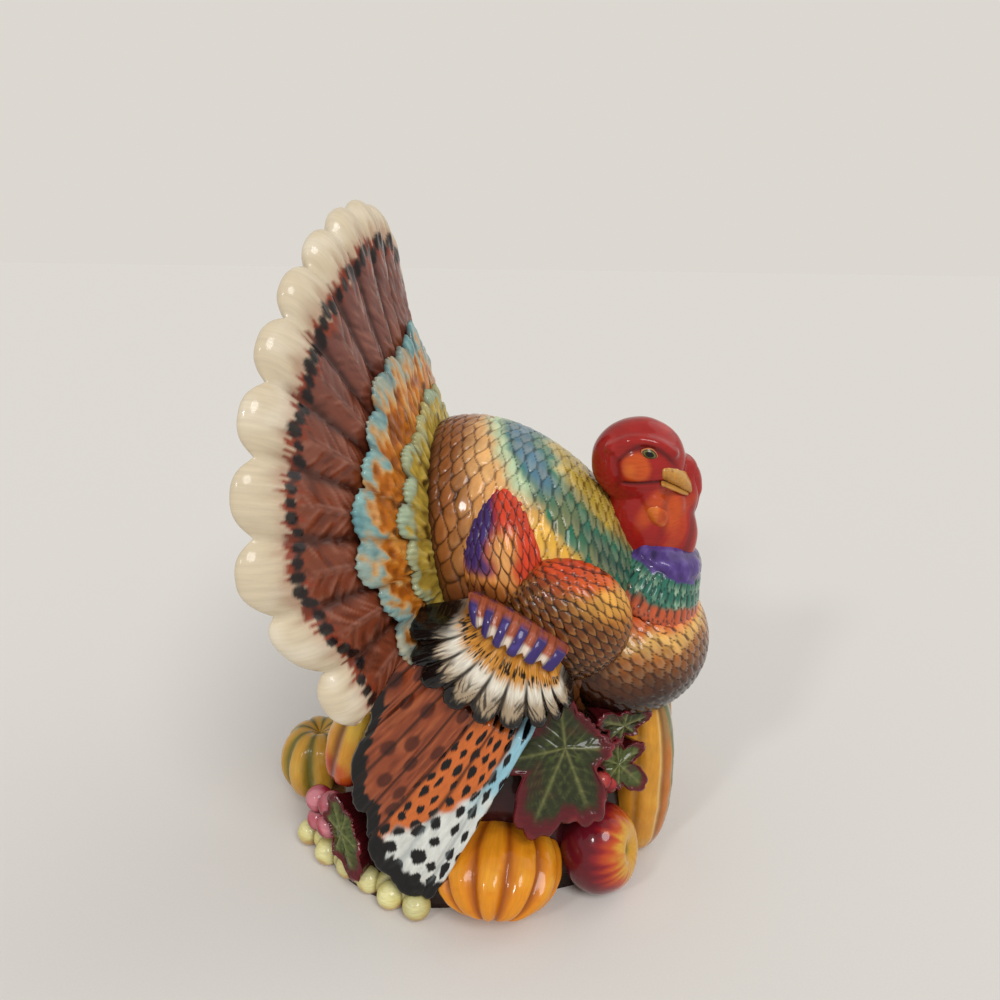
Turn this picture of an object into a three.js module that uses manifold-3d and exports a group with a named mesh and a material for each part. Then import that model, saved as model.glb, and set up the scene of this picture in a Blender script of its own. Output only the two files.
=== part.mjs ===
// Thanksgiving turkey figure: a strutting tom turkey over a heap of harvest fruit,
// slip-cast in earthenware, hand painted and glazed.
// Millimetres, +Z up. The bird faces -Y, its right side is -X, and its foot stands on Z = 0.
import * as THREE from "three";
import { mergeVertices } from "three/addons/utils/BufferGeometryUtils.js";
import Module from "manifold-3d";

const wasm = await Module();
wasm.setup();

// Clay
const fitGap = 0.4; // slip joint between two castings
const castWall = 6; // wall of the hollow castings
const ventRadius = 8; // drain hole in the foot
const ventBehind = 32; // from the middle of the foot back to the drain hole
const throatRadius = 14; // way between the hollow of the mound and that of the torso

// Mound of earth under the fruit
const moundHalfWidth = 64;
const moundHalfLength = 86;
const moundHeight = 96;
const moundShoulder = 3.2; // power of the dome: higher is squarer
const moundBack = 6; // middle of the mound behind the origin
const bankHalfWidth = 78; // low bank round the mound, under the grapes
const bankHalfLength = 72;
const bankHeight = 50;
const bankBack = 30; // middle of the bank behind the origin

// Torso, an egg lying along Y whose tail end is raised
const torsoHalfLength = 70;
const torsoHalfWidth = 56;
const torsoHalfHeight = 72;
const torsoRise = 36; // lift of the tail end over the middle
const torsoForward = 18; // middle of the torso in front of the origin
const torsoSink = 20; // depth of the torso in the mound
const torsoTaper = 0.4; // narrowing of its front end, share of the width
const breastHalfWidth = 52;
const breastHalfLength = 47;
const breastHalfHeight = 37.5;
const breastForward = 41; // middle of the breast in front of the torso's
const breastDrop = 29.5; // and below it
const rumpHalfWidth = 44; // fluffed feathers under the tail
const rumpHalfLength = 34;
const rumpHalfHeight = 52;
const rumpBehind = 52; // middle of the rump behind the torso's
const rumpDrop = 30; // and below it

// Tail fan of lobed feathers, swept back to its sides and leaning back
const fanHalfWidth = 123;
const fanHeight = 158; // from the fan's middle to its top edge
const fanThickness = 9;
const fanRim = 2.5; // rounding of the feather tips between front and back
const fanFeathersEachSide = 9; // beside the one in the middle
const fanStep = 11.1; // degrees from one feather to the next, near the top
const fanSpread = 0.0054; // growth of that step down the sides, degrees per place cubed
const fanSweep = 0.0028; // backward sweep, per mm of width squared
const fanLean = 0.224; // backward lean, mm per mm of height
const fanBehind = 43; // fan's middle behind the torso's
const fanAbove = 17.5; // and above it
const fanLobe = 6; // depth of the notch between two feather tips
const fanRidge = 2.4; // depth of the furrows between the feathers
const fanSwell = 2.4; // thickening of the feather tips, to the front
const fanLowShare = 0.88; // reach of the lowest feathers against the upper ones
const fanHub = 24; // radius of the root where the quills meet, at the back
const majorCovertReach = 0.65; // share of the fan that the long tail coverts lie over
const minorCovertReach = 0.5; // and that of the short ones
const covertThickness = 2.6;
const covertLift = 1.3; // clay under a tier of coverts
const covertLobe = 4;
const covertRidge = 1.2;
const tailSeat = 60; // radius of the hollow in the torso's back that the tail's root sits in

// Head and neck
const headHalfWidth = 17;
const headHalfDepth = 22;
const headHalfHeight = 21;
const headRise = 63; // middle of the skull over the root of the neck
const headBack = 12.5; // and behind it
const neckHalfWidth = 17;
const neckHalfDepth = 19;
const neckHalfHeight = 27;
const collarHalfWidth = 22;
const collarHalfDepth = 20;
const collarHalfHeight = 13;
const collarRise = 8; // middle of the collar over the root of the neck
const beakLength = 13;
const beakHalfHeight = 5.2;
const beakHalfWidth = 7.5;
const snoodRadius = 4.6;
const eyeRadius = 3.4;
const wattleRadius = 5.2;
const wattleLength = 10.5; // half of the hanging caruncle

// Wing
const shoulderHalfWidth = 18;
const shoulderHalfLength = 30;
const shoulderHalfHeight = 24;
const scapularHalfWidth = 11;
const scapularHalfLength = 19;
const scapularHalfHeight = 29;
const quillRidge = 1.6; // crown of a wing feather across its width
const tipLobe = 4; // rounding of the feather tips
const primaryThickness = 30; // at most, down to the body
const primaryQuills = 8;
const secondaryThickness = 22;
const secondaryQuills = 9;
const bandThickness = 12;
const bandQuills = 6;

// Harvest fruit and leaves
const pumpkinRadius = 32;
const pumpkinHalfHeight = 22;
const pumpkinRibs = 10;
const pumpkinGroove = 0.13; // depth of the grooves, share of the radius
const appleRadius = 20;
const appleStretch = 1.18; // height of the apple, share of its width
const appleDimple = 0.32; // depth of the stem hollow, share of the radius
const gourdRadius = 19;
const gourdHalfHeight = 48;
const gourdRibs = 8;
const gourdGroove = 0.06;
const squashRadius = 23;
const squashHalfHeight = 25;
const squashRibs = 8;
const pepperRadius = 15;
const pepperHalfHeight = 27;
const pepperRibs = 5;
const grapeRadius = 7;
const berryRadius = 4.5;
const greenGrapes = 11; // along the foot on each side, every other one set in
const greenGrapeStep = 6.1; // degrees from one to the next
const leafThickness = 30; // at most, down to the mound
const leafLift = 3; // face of a leaf over its setting-out place
const mapleLeafSize = 47; // middle of the leaf to the tip of its longest lobe
const smallLeafSize = 22;
const breastLeafSize = 18;
const vineLeafSize = 25;

// How finely the curved forms are faceted
const smooth = 30;
const fine = 20;
const medium = 12;
const coarse = 8;

const degrees = Math.PI / 180;
const at = (x, y, z) => new THREE.Vector3(x, y, z);

// Solids

// A geometry whose vertices are moved by a rule, as a closed solid, its faces then moved outwards.
function form(geometry, rule, grow = 0) {
  const bare = geometry.clone();
  bare.deleteAttribute("normal");
  bare.deleteAttribute("uv");
  const position = bare.getAttribute("position");
  for (let i = 0; i < position.count; i++) {
    const moved = rule(at(position.getX(i), position.getY(i), position.getZ(i)));
    position.setXYZ(i, moved.x, moved.y, moved.z);
  }
  const merged = mergeVertices(bare, 1e-3);
  const faces = [];
  let sixfoldVolume = 0;
  const places = merged.getAttribute("position");
  const corner = (i) => new THREE.Vector3().fromBufferAttribute(places, merged.index.getX(i));
  for (let i = 0; i < merged.index.count; i += 3) {
    const [a, b, c] = [merged.index.getX(i), merged.index.getX(i + 1), merged.index.getX(i + 2)];
    if (a === b || b === c || c === a) continue;
    faces.push([a, b, c]);
    sixfoldVolume += corner(i).dot(corner(i + 1).cross(corner(i + 2)));
  }
  const outwards = sixfoldVolume > 0 ? faces : faces.map(([a, b, c]) => [a, c, b]);
  merged.setIndex(outwards.flat());
  merged.computeVertexNormals();
  const normals = merged.getAttribute("normal");
  const vertProperties = places.array.map((value, i) => value + grow * normals.array[i]);
  const triVerts = new Uint32Array(outwards.flat());
  return new wasm.Manifold(new wasm.Mesh({ numProp: 3, vertProperties, triVerts }));
}

// An ellipsoid with its poles along Z, pitched about X by an angle in degrees.
function egg(centre, radii, { pitch = 0, roll = 0, grow = 0, columns = medium, rows = coarse } = {}) {
  const turn = new THREE.Euler(pitch * degrees, roll * degrees, 0, "YXZ");
  const ball = new THREE.SphereGeometry(1, columns, rows).rotateX(Math.PI / 2);
  return form(ball, (p) => p.multiply(radii).applyEuler(turn).add(centre), grow);
}

const without = (solid, ...cutters) => cutters.reduce((left, cutter) => left.subtract(cutter), solid);
const joined = (...solids) => solids.reduce((all, one) => all.add(one));

// The same solid on the other side of the bird.
function mirrored(solid) {
  const { numProp, vertProperties, triVerts } = solid.getMesh();
  const otherSide = vertProperties.map((value, i) => (i % numProp === 0 ? -value : value));
  const turned = triVerts.slice().reverse();
  return new wasm.Manifold(new wasm.Mesh({ numProp, vertProperties: otherSide, triVerts: turned }));
}

// Mound, torso and breast

const torsoMiddle = at(0, -torsoForward, moundHeight + torsoHalfHeight - torsoSink);
const breastMiddle = torsoMiddle.clone().add(at(0, -breastForward, -breastDrop));
const fanMiddle = torsoMiddle.clone().add(at(0, fanBehind, fanAbove));

// Place on the torso's skin for a direction given on a unit ball.
function onTorso(x, y, z) {
  const wide = torsoHalfWidth * (1 - torsoTaper * THREE.MathUtils.smoothstep(-y, 0.35, 1));
  return at(x * wide, y * torsoHalfLength, z * torsoHalfHeight + y * torsoRise).add(torsoMiddle);
}

function torsoForm(grow = 0) {
  const ball = new THREE.SphereGeometry(1, grow < 0 ? medium : smooth, grow < 0 ? coarse : fine);
  return form(ball, (p) => onTorso(p.x, p.y, p.z), grow);
}

function breastForm(grow = 0) {
  const radii = at(breastHalfWidth, breastHalfLength, breastHalfHeight);
  return egg(breastMiddle, radii, { grow, columns: fine, rows: coarse });
}

// Outline of the mound at a height, as a share of its foot.
function moundShare(z) {
  const left = Math.max(0, 1 - Math.pow(z / moundHeight, moundShoulder));
  return Math.pow(left, 1 / moundShoulder);
}

// A place beside the mound: its bearing in degrees from the front towards the right side,
// how far outwards, and its height.
function besideMound(bearing, outwards, height) {
  const a = bearing * degrees;
  const share = moundShare(height);
  return at(
    -Math.sin(a) * (moundHalfWidth * share + outwards),
    -Math.cos(a) * (moundHalfLength * share + outwards) + moundBack,
    height,
  );
}

// The same with the distance and the height as shares of the mound's half width and height.
const onMound = (bearing, outwards, height) =>
  besideMound(bearing, outwards * moundHalfWidth, height * moundHeight);

function moundForm(grow = 0) {
  const steps = 6;
  const profile = [new THREE.Vector2(0, 0)];
  for (let i = 0; i <= steps; i++) {
    const lift = Math.sin((i / steps) * 90 * degrees);
    profile.push(new THREE.Vector2(moundShare(lift * moundHeight), lift * moundHeight));
  }
  const columns = grow < 0 ? medium : fine;
  const turned = new THREE.LatheGeometry(profile, columns).rotateX(Math.PI / 2);
  const dome = form(turned, (p) => at(p.x * moundHalfWidth, p.y * moundHalfLength + moundBack, p.z), grow);
  const bank = egg(at(0, bankBack, 0), at(bankHalfWidth, bankHalfLength, bankHeight), { grow, columns });
  return joined(dome, bank);
}

// A place beside the bank, as for the mound.
function besideBank(bearing, outwards, height) {
  const a = bearing * degrees;
  const share = Math.sqrt(1 - (height / bankHeight) ** 2);
  return at(
    -Math.sin(a) * (bankHalfWidth * share + outwards),
    -Math.cos(a) * (bankHalfLength * share + outwards) + bankBack,
    height,
  );
}

function rumpForm(grow = 0) {
  const middle = torsoMiddle.clone().add(at(0, rumpBehind, -rumpDrop));
  return egg(middle, at(rumpHalfWidth, rumpHalfLength, rumpHalfHeight), { grow });
}

// A round passage along Z.
function passage(radius, x, y, low, high) {
  const bore = new THREE.CylinderGeometry(radius, radius, high - low, coarse).rotateX(Math.PI / 2);
  return form(bore, (p) => p.add(at(x, y, (low + high) / 2)));
}

// Tail fan

const fanPlaces = [];
for (let i = -fanFeathersEachSide; i <= fanFeathersEachSide; i++) {
  fanPlaces.push(fanStep * i + fanSpread * i ** 3);
}

// Where a place across the fan lies: its angle from the top, and how far across its own feather,
// from -1 to 1.
function acrossFan(share) {
  const place = share * fanPlaces.length - 0.5;
  const index = Math.min(fanPlaces.length - 1, Math.max(0, Math.round(place)));
  const aside = place - index;
  const next = index + Math.sign(aside);
  const lastStep = fanStep * 1.5;
  const step = next in fanPlaces ? Math.abs(fanPlaces[next] - fanPlaces[index]) : lastStep;
  return { angle: (fanPlaces[index] + aside * step) * degrees, inFeather: 2 * aside };
}

// Front face of the fan over a place on its outline.
const fanFace = (x, z) => fanMiddle.y + fanLean * (z - fanMiddle.z) + fanSweep * x * x;

// A layer of the fan out to a share of its reach, between two depths behind the front face,
// made as its right half and the mirror image of that.
function fanLayer(reach, front, back, shape = {}) {
  const { lobe = 0, ridge = 0, rim = 0, swell = 0, steps = 6, rings = 3, grow = 0 } = shape;
  const block = new THREE.BoxGeometry(1, 1, 1, steps, rings, rim ? 2 : 1);
  const innerShare = 0.06;
  const rule = (p) => {
    const { angle: bearing, inFeather } = acrossFan(0.75 + p.x / 2);
    const out = innerShare + (1 - innerShare) * (p.y + 0.5);
    const angle = bearing + (p.x > 0.49 ? (2 * grow) / (fanHalfWidth * reach * out) : 0);
    const low = THREE.MathUtils.smoothstep(Math.abs(angle) / degrees, 80, 100);
    const share = reach * (1 - (1 - fanLowShare) * low);
    const notch = lobe * Math.pow(Math.abs(inFeather), 3) * out ** 4;
    const rounding = p.y > 0.49 ? rim * (2 - 4 * Math.abs(p.z)) + 2 * grow : 0;
    const x = -Math.sin(angle) * ((fanHalfWidth * share - notch) * out + rounding);
    const z = Math.cos(angle) * ((fanHeight * share - notch) * out + rounding) + fanMiddle.z;
    const furrow = ridge * inFeather ** 2 * Math.min(1, 2.5 * out);
    const puffed = swell * THREE.MathUtils.smoothstep(out, 0.74, 0.94);
    const depth = THREE.MathUtils.lerp(front + furrow - puffed, back - furrow / 2, p.z + 0.5);
    return at(x, fanFace(x, z) + depth, z);
  };
  const half = form(block, rule, grow);
  return joined(half, mirrored(half));
}

function fanForm(grow = 0) {
  const hub = at(fanHub, fanThickness, fanHub);
  const hubMiddle = fanMiddle.clone().add(at(0, fanThickness, 0));
  const root = egg(hubMiddle, hub, { grow, pitch: -Math.atan(fanLean) / degrees });
  const steps = 2 * fanPlaces.length;
  const vanes = { lobe: fanLobe, ridge: fanRidge, rim: fanRim, swell: fanSwell, steps, rings: 5, grow };
  return joined(fanLayer(1, 0, fanThickness, vanes), root);
}

// Two tiers of coverts lie on the tail feathers, the short ones over the long ones.
function covertForm(reach, tier, grow = 0) {
  const back = -covertLift - tier * (covertThickness + covertLift);
  const shape = { lobe: covertLobe, ridge: covertRidge, steps: fanPlaces.length, rings: 2, grow };
  return fanLayer(reach, back - covertThickness, back, shape);
}

// Head and neck

const neckRoot = onTorso(0, -0.86, 0.42);
const skullMiddle = neckRoot.clone().add(at(0, headBack, headRise));
const beakRoot = skullMiddle.clone().add(at(0, -headHalfDepth * 0.72, -headHalfHeight * 0.2));

function headForm(grow = 0) {
  const skull = egg(skullMiddle, at(headHalfWidth, headHalfDepth, headHalfHeight), { grow });
  const faceMiddle = skullMiddle.clone().add(at(0, -headHalfDepth * 0.3, -headHalfHeight * 0.4));
  const faceSize = at(headHalfWidth * 0.78, headHalfDepth * 0.48, headHalfHeight * 0.6);
  const face = egg(faceMiddle, faceSize, { grow });
  const throatMiddle = neckRoot.clone().add(at(0, neckHalfDepth * 0.26, headRise * 0.48));
  const throatSize = at(neckHalfWidth, neckHalfDepth, neckHalfHeight);
  const throat = egg(throatMiddle, throatSize, { grow, pitch: -14 });
  const dewlapMiddle = neckRoot.clone().add(at(0, -neckHalfDepth * 0.42, headRise * 0.42));
  const dewlapSize = at(neckHalfWidth * 0.7, neckHalfDepth * 0.6, neckHalfHeight * 0.75);
  const dewlap = egg(dewlapMiddle, dewlapSize, { grow });
  return joined(skull, face, throat, dewlap);
}

function collarForm(grow = 0) {
  const middle = neckRoot.clone().add(at(0, -collarHalfDepth * 0.2, collarRise));
  return egg(middle, at(collarHalfWidth, collarHalfDepth, collarHalfHeight), { grow, pitch: 10 });
}

// Half of the bill: a blunt cone, the upper half hooked over the lower one.
function billForm(upper, grow = 0) {
  const rounded = new THREE.SphereGeometry(1, coarse, coarse);
  const length = beakLength * (upper ? 1.15 : 1);
  const hook = beakHalfHeight * (upper ? 2 : 1.6);
  const drop = beakHalfHeight * (upper ? 0 : 0.8);
  const rule = (p) => {
    const along = (1 - p.y) / 2;
    const taper = 1 - 0.45 * along;
    const lift = p.z * beakHalfHeight * taper - hook * along ** 2 - drop;
    return at(p.x * beakHalfWidth * taper, beakLength * 0.3 - along * length, lift).add(beakRoot);
  };
  return form(rounded, rule, grow);
}

// The fleshy snood grows from the brow and hangs down the far side of the bill.
function snoodForm(grow = 0) {
  const brow = skullMiddle.clone().add(at(0, -headHalfDepth * 0.65, headHalfHeight * 0.19));
  const path = new THREE.CatmullRomCurve3([
    brow,
    beakRoot.clone().add(at(beakHalfWidth * 0.35, -beakLength * 0.52, beakHalfHeight * 1.1)),
    beakRoot.clone().add(at(beakHalfWidth * 0.75, -beakLength * 0.8, -beakHalfHeight * 0.4)),
    beakRoot.clone().add(at(beakHalfWidth * 0.75, -beakLength * 0.83, -beakHalfHeight * 2.9)),
    beakRoot.clone().add(at(beakHalfWidth * 0.45, -beakLength * 0.8, -beakHalfHeight * 5.5)),
  ]);
  const section = new THREE.Shape().absarc(0, 0, snoodRadius, 0, 2 * Math.PI);
  const tube = new THREE.ExtrudeGeometry(section, { extrudePath: path, steps: 10, curveSegments: 4 });
  return form(tube, (p) => p, grow);
}

function eyeForm(grow = 0) {
  const place = at(-headHalfWidth * 0.88, -headHalfDepth * 0.23, headHalfHeight * 0.39).add(skullMiddle);
  return egg(place, at(eyeRadius, eyeRadius * 1.3, eyeRadius * 0.9), { grow, columns: 10, rows: 6 });
}

function wattleForm(grow = 0) {
  const place = at(-neckHalfWidth * 0.82, neckHalfDepth * 0.22, headRise * 0.725).add(neckRoot);
  const round = { grow, pitch: -26, columns: 10, rows: 8 };
  return egg(place, at(wattleRadius, wattleRadius, wattleLength), round);
}

// Wings

// A spread of feathers between the line of their roots and the line of their tips.
function featherSpread({ roots, tips, quills, thickness, bulge }, grow = 0) {
  const stepsPerQuill = 2;
  const stepsAlong = 3;
  const block = new THREE.BoxGeometry(1, 1, 1, quills * stepsPerQuill, stepsAlong, 1);
  const rootLine = new THREE.CatmullRomCurve3(roots);
  const tipLine = new THREE.CatmullRomCurve3(tips);
  const outwards = at(-1, 0, 0);
  const rule = (p) => {
    const across = p.x + 0.5;
    const along = p.y + 0.5;
    const inQuill = ((across * quills) % 1) * 2 - 1;
    const crest = 1 - inQuill ** 2;
    const root = rootLine.getPoint(across);
    const quill = tipLine.getPoint(across).sub(root);
    const reach = along + (tipLobe / quill.length()) * crest * along ** 3;
    const swell = p.z < 0 ? bulge * Math.sin(Math.PI * along) + quillRidge * crest : -thickness;
    return root.addScaledVector(quill, reach).addScaledVector(outwards, swell);
  };
  return form(block, rule, grow);
}

const shoulderMiddle = onTorso(-0.92, -0.24, 0.2);
const shoulderForm = (grow = 0) =>
  egg(shoulderMiddle, at(shoulderHalfWidth, shoulderHalfLength, shoulderHalfHeight), { grow, pitch: -12 });
const scapularMiddle = onTorso(-0.82, 0.15, 0.36);
const scapularForm = (grow = 0) =>
  egg(scapularMiddle, at(scapularHalfWidth, scapularHalfLength, scapularHalfHeight), { grow, pitch: 6 });

// Points on the wing are set out from the middle of the shoulder: outwards, backwards and up,
// as shares of the torso's half width, half length and half height.
function fromShoulder(outwards, backwards, up) {
  const offset = at(-outwards * torsoHalfWidth, backwards * torsoHalfLength, up * torsoHalfHeight);
  return offset.add(shoulderMiddle);
}

const primaries = {
  roots: [fromShoulder(0.29, 0.91, -0.22), fromShoulder(0.43, 0.54, -0.44), fromShoulder(0.46, 0.09, -0.64)],
  tips: [
    fromShoulder(0.32, 1.34, -0.64),
    fromShoulder(0.5, 1.34, -1.19),
    fromShoulder(0.59, 1.14, -1.72),
    fromShoulder(0.61, 0.74, -1.89),
  ],
  quills: primaryQuills,
  thickness: primaryThickness,
  bulge: 3,
};
const secondaries = {
  roots: [fromShoulder(0.32, 0.4, 0.11), fromShoulder(0.46, 0.23, 0), fromShoulder(0.46, 0, -0.17)],
  tips: [
    fromShoulder(0.32, 0.86, 0.03),
    fromShoulder(0.48, 0.79, -0.28),
    fromShoulder(0.59, 0.43, -0.47),
    fromShoulder(0.55, 0.06, -0.47),
    fromShoulder(0.46, -0.09, -0.33),
  ],
  quills: secondaryQuills,
  thickness: secondaryThickness,
  bulge: 6,
};
const band = {
  roots: [fromShoulder(0.45, 0.46, 0.11), fromShoulder(0.59, 0.21, -0.06), fromShoulder(0.55, -0.06, -0.22)],
  tips: [fromShoulder(0.48, 0.56, 0.04), fromShoulder(0.66, 0.29, -0.17), fromShoulder(0.62, -0.04, -0.32)],
  quills: bandQuills,
  thickness: bandThickness,
  bulge: 1,
};

// Fruit

// A ribbed fruit, its grooves running from pole to pole, leaning by a pitch and a roll in degrees.
function ribbedFruit(centre, size, ribs, groove, stance = {}) {
  const { pitch = 0, roll = 0, dimple = 0.35, power = 1, grow = 0 } = stance;
  const ball = new THREE.SphereGeometry(1, ribs * 3, coarse).rotateX(Math.PI / 2);
  const turn = new THREE.Euler(pitch * degrees, roll * degrees, 0);
  const rule = (p) => {
    const flat = Math.hypot(p.x, p.y);
    const bearing = Math.atan2(p.y, p.x);
    const furrow = 1 - groove * Math.pow(Math.abs(Math.cos((bearing * ribs) / 2)), 4) * flat;
    const full = flat ? Math.pow(flat, power) / flat : 1;
    const sunk = 1 - dimple * Math.pow(1 - flat, 2);
    const wide = size.x * furrow * full;
    return at(p.x * wide, p.y * wide, p.z * size.z * sunk).applyEuler(turn).add(centre);
  };
  return form(ball, rule, grow);
}

const pumpkinMiddle = besideMound(81, pumpkinRadius * 0.1, pumpkinHalfHeight);
const pumpkinSize = at(pumpkinRadius, pumpkinRadius, pumpkinHalfHeight);
const pumpkinForm = (grow = 0) =>
  ribbedFruit(pumpkinMiddle, pumpkinSize, pumpkinRibs, pumpkinGroove, { grow });
const gourdMiddle = besideMound(14, 0, gourdHalfHeight);
const gourdSize = at(gourdRadius, gourdRadius, gourdHalfHeight);
const gourdForm = (grow = 0) =>
  ribbedFruit(gourdMiddle, gourdSize, gourdRibs, gourdGroove, { grow, dimple: 0, power: 0.6 });
const squashMiddle = besideMound(180, squashRadius * 0.5, squashHalfHeight);
const squashSize = at(squashRadius, squashRadius, squashHalfHeight);
const squashForm = (grow = 0) =>
  ribbedFruit(squashMiddle, squashSize, squashRibs, pumpkinGroove, { grow });
const pepperMiddle = onMound(135, 0.156, 0.74);
const pepperSize = at(pepperRadius, pepperRadius, pepperHalfHeight);
const pepperForm = (grow = 0) =>
  ribbedFruit(pepperMiddle, pepperSize, pepperRibs, pumpkinGroove, { grow, pitch: 16, power: 0.8 });

// A round fruit with a hollow for its stalk, turned towards a direction.
function dimpledFruit(centre, radius, stalkwards, grow = 0) {
  const ball = new THREE.SphereGeometry(1, medium, coarse);
  const turn = new THREE.Quaternion().setFromUnitVectors(at(0, 1, 0), stalkwards.clone().normalize());
  const rule = (p) => {
    const flat = Math.hypot(p.x, p.z);
    const hollow = p.y > 0 ? appleDimple : appleDimple * 0.4;
    const sunk = hollow * Math.exp(-((flat / 0.36) ** 2));
    const turned = p.multiplyScalar(radius * (1 - sunk)).applyQuaternion(turn);
    return turned.multiply(at(1, 1, appleStretch)).add(centre);
  };
  return form(ball, rule, grow);
}

const appleMiddle = besideMound(46, appleRadius * 0.25, appleRadius * appleStretch);
const appleForm = (grow = 0) => dimpledFruit(appleMiddle, appleRadius, at(-0.35, -1, 0.25), grow);

// A bunch of round fruit pressed together.
function bunchForm(places, radius, grow = 0) {
  const round = { grow, columns: coarse, rows: 5 };
  return joined(...places.map((place) => egg(place, at(radius, radius, radius), round)));
}

const greenGrapePlaces = [];
for (let i = 0; i < greenGrapes; i++) {
  const outwards = grapeRadius * (i % 2 ? -0.45 : 0.12 + 0.03 * (i - 5) ** 2);
  greenGrapePlaces.push(besideBank(151 - greenGrapeStep * i, outwards, grapeRadius));
}
const redGrapePlaces = [
  besideBank(145, grapeRadius * 0.95, grapeRadius * 3),
  besideBank(145, grapeRadius * 2.4, grapeRadius * 4.55),
  besideBank(136, grapeRadius * 0.95, grapeRadius * 3.4),
  besideBank(135, grapeRadius * 2.7, grapeRadius * 5),
];
const berryPlaces = [onMound(47.5, 0.256, 0.7), onMound(44, 0.24, 0.66)];

// Leaves

// Outline of a lobed leaf about its own middle. A lobe is a bearing in degrees from +Y towards +X and
// a length as a share of the leaf's size.
function leafOutline(lobes) {
  const steps = 40;
  const lobeWidth = 36; // degrees from the middle of a lobe to its foot
  const blade = 0.3; // least reach of the leaf between its lobes
  const points = [];
  for (let i = 0; i < steps; i++) {
    const bearing = (i * 360) / steps;
    let sum = blade ** 6;
    for (const [middle, length] of lobes) {
      const apart = THREE.MathUtils.euclideanModulo(bearing - middle + 180, 360) - 180;
      sum += (length * Math.cos(Math.min(1, Math.abs(apart) / lobeWidth) * 90 * degrees)) ** 6;
    }
    const reach = sum ** (1 / 6);
    points.push(new THREE.Vector2(Math.sin(bearing * degrees) * reach, Math.cos(bearing * degrees) * reach));
  }
  return new THREE.Shape(points);
}

// A leaf lying against the fruit: its middle, the way its first lobes run, and the way its face looks.
function leafForm(middle, along, face, size, lobes, grow = 0) {
  const plate = new THREE.ExtrudeGeometry(leafOutline(lobes), { depth: 1, bevelEnabled: false, steps: 1 });
  const normal = face.clone().normalize();
  const length = along.clone().addScaledVector(normal, -along.dot(normal)).normalize();
  const width = length.clone().cross(normal);
  const rule = (p) => {
    const curl = -0.14 * size * (p.x ** 2 + 0.6 * p.y ** 2);
    return middle
      .clone()
      .addScaledVector(width, p.x * (size + 2 * grow))
      .addScaledVector(length, p.y * (size + 2 * grow))
      .addScaledVector(normal, (p.z - 1) * leafThickness + leafLift + curl);
  };
  return form(plate, rule, grow);
}

const downwards = at(-0.33, 0, -0.93);

function mapleLeafForm(grow = 0) {
  const middle = onMound(58, 0.55, 0.9375);
  const lobes = [[13, 1], [-25, 0.89], [66, 0.66], [-97, 0.47], [168, 0.53]];
  return leafForm(middle, downwards, at(-0.93, -0.15, 0.33), mapleLeafSize, lobes, grow);
}

function smallLeafForm(grow = 0) {
  const middle = onMound(41, 0.292, 0.765);
  const lobes = [[-51, 1], [-5, 0.6], [36, 0.62], [113, 0.75], [165, 0.6], [-125, 0.72]];
  return leafForm(middle, downwards, at(-0.85, -0.5, 0.15), smallLeafSize, lobes, grow);
}

function breastLeafForm(grow = 0) {
  const middle = onMound(35.5, 0.728, 0.974);
  const lobes = [[-103, 0.97], [104, 1], [46, 0.6], [-60, 0.62], [180, 0.45], [0, 0.5]];
  return leafForm(middle, downwards, at(-0.75, -0.62, -0.05), breastLeafSize, lobes, grow);
}

function vineLeafForm(grow = 0) {
  const middle = besideBank(121, vineLeafSize * 0.74, bankHeight * 0.66);
  const lobes = [[0, 1], [42, 0.6], [-42, 0.6], [180, 0.8], [138, 0.56], [-138, 0.56]];
  return leafForm(middle, at(-0.37, -0.32, -0.87), at(-0.85, 0.5, 0.15), vineLeafSize, lobes, grow);
}

// Glazes

const glaze = (colour, roughness = 0.12) =>
  new THREE.MeshStandardMaterial({ color: colour, roughness, metalness: 0 });
const glazes = {
  earth: glaze(0x3a2416),
  feather: glaze(0xa5662f),
  breast: glaze(0xb06a2c),
  rust: glaze(0x7c3f28),
  covert: glaze(0xb9772f),
  yellow: glaze(0xa89a4a),
  cream: glaze(0xd9cdb4),
  red: glaze(0x9c1f1c),
  purple: glaze(0x3c2a5c),
  horn: glaze(0xb07c33),
  black: glaze(0x15120f),
  pumpkin: glaze(0xd0801c),
  apple: glaze(0x6e1524),
  gourd: glaze(0xb78327),
  pepper: glaze(0xd98b2c),
  grape: glaze(0x9c2a3c),
  greenGrape: glaze(0xc9b869),
  leaf: glaze(0x3d3a1a),
};

// Assembly

const figure = new THREE.Group();
const rightSide = new THREE.Group();
const leftSide = new THREE.Group();
leftSide.scale.x = -1;
figure.add(rightSide, leftSide);

function meshOf(name, solid, material) {
  const { numProp, vertProperties, triVerts } = solid.getMesh();
  const vertices = new Float32Array((vertProperties.length / numProp) * 3);
  for (let i = 0; i < vertices.length / 3; i++) {
    vertices.set(vertProperties.subarray(i * numProp, i * numProp + 3), i * 3);
  }
  const geometry = new THREE.BufferGeometry();
  geometry.setAttribute("position", new THREE.BufferAttribute(vertices, 3));
  geometry.setIndex(new THREE.BufferAttribute(triVerts, 1));
  geometry.computeVertexNormals();
  const mesh = new THREE.Mesh(geometry, material);
  mesh.name = name;
  return mesh;
}

// Each casting is fitted against those already there, with a slip joint all round.
const table = form(new THREE.BoxGeometry(1000, 1000, 200), (p) => p.add(at(0, 0, -100)));
const leftSpace = new THREE.BoxGeometry(1000, 1000, 1000);
const leftHalf = form(leftSpace, (p) => p.add(at(500 - fitGap / 2, 0, 500)));
const inPlace = [table];

function fitted(solid, ...more) {
  const bodies = without(solid, ...inPlace, ...more).decompose();
  return bodies.reduce((most, body) => (body.volume() > most.volume() ? body : most));
}

function addPiece(name, shape, material, ...more) {
  figure.add(meshOf(name, fitted(shape(), ...more), material));
  inPlace.push(shape(fitGap));
}

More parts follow.
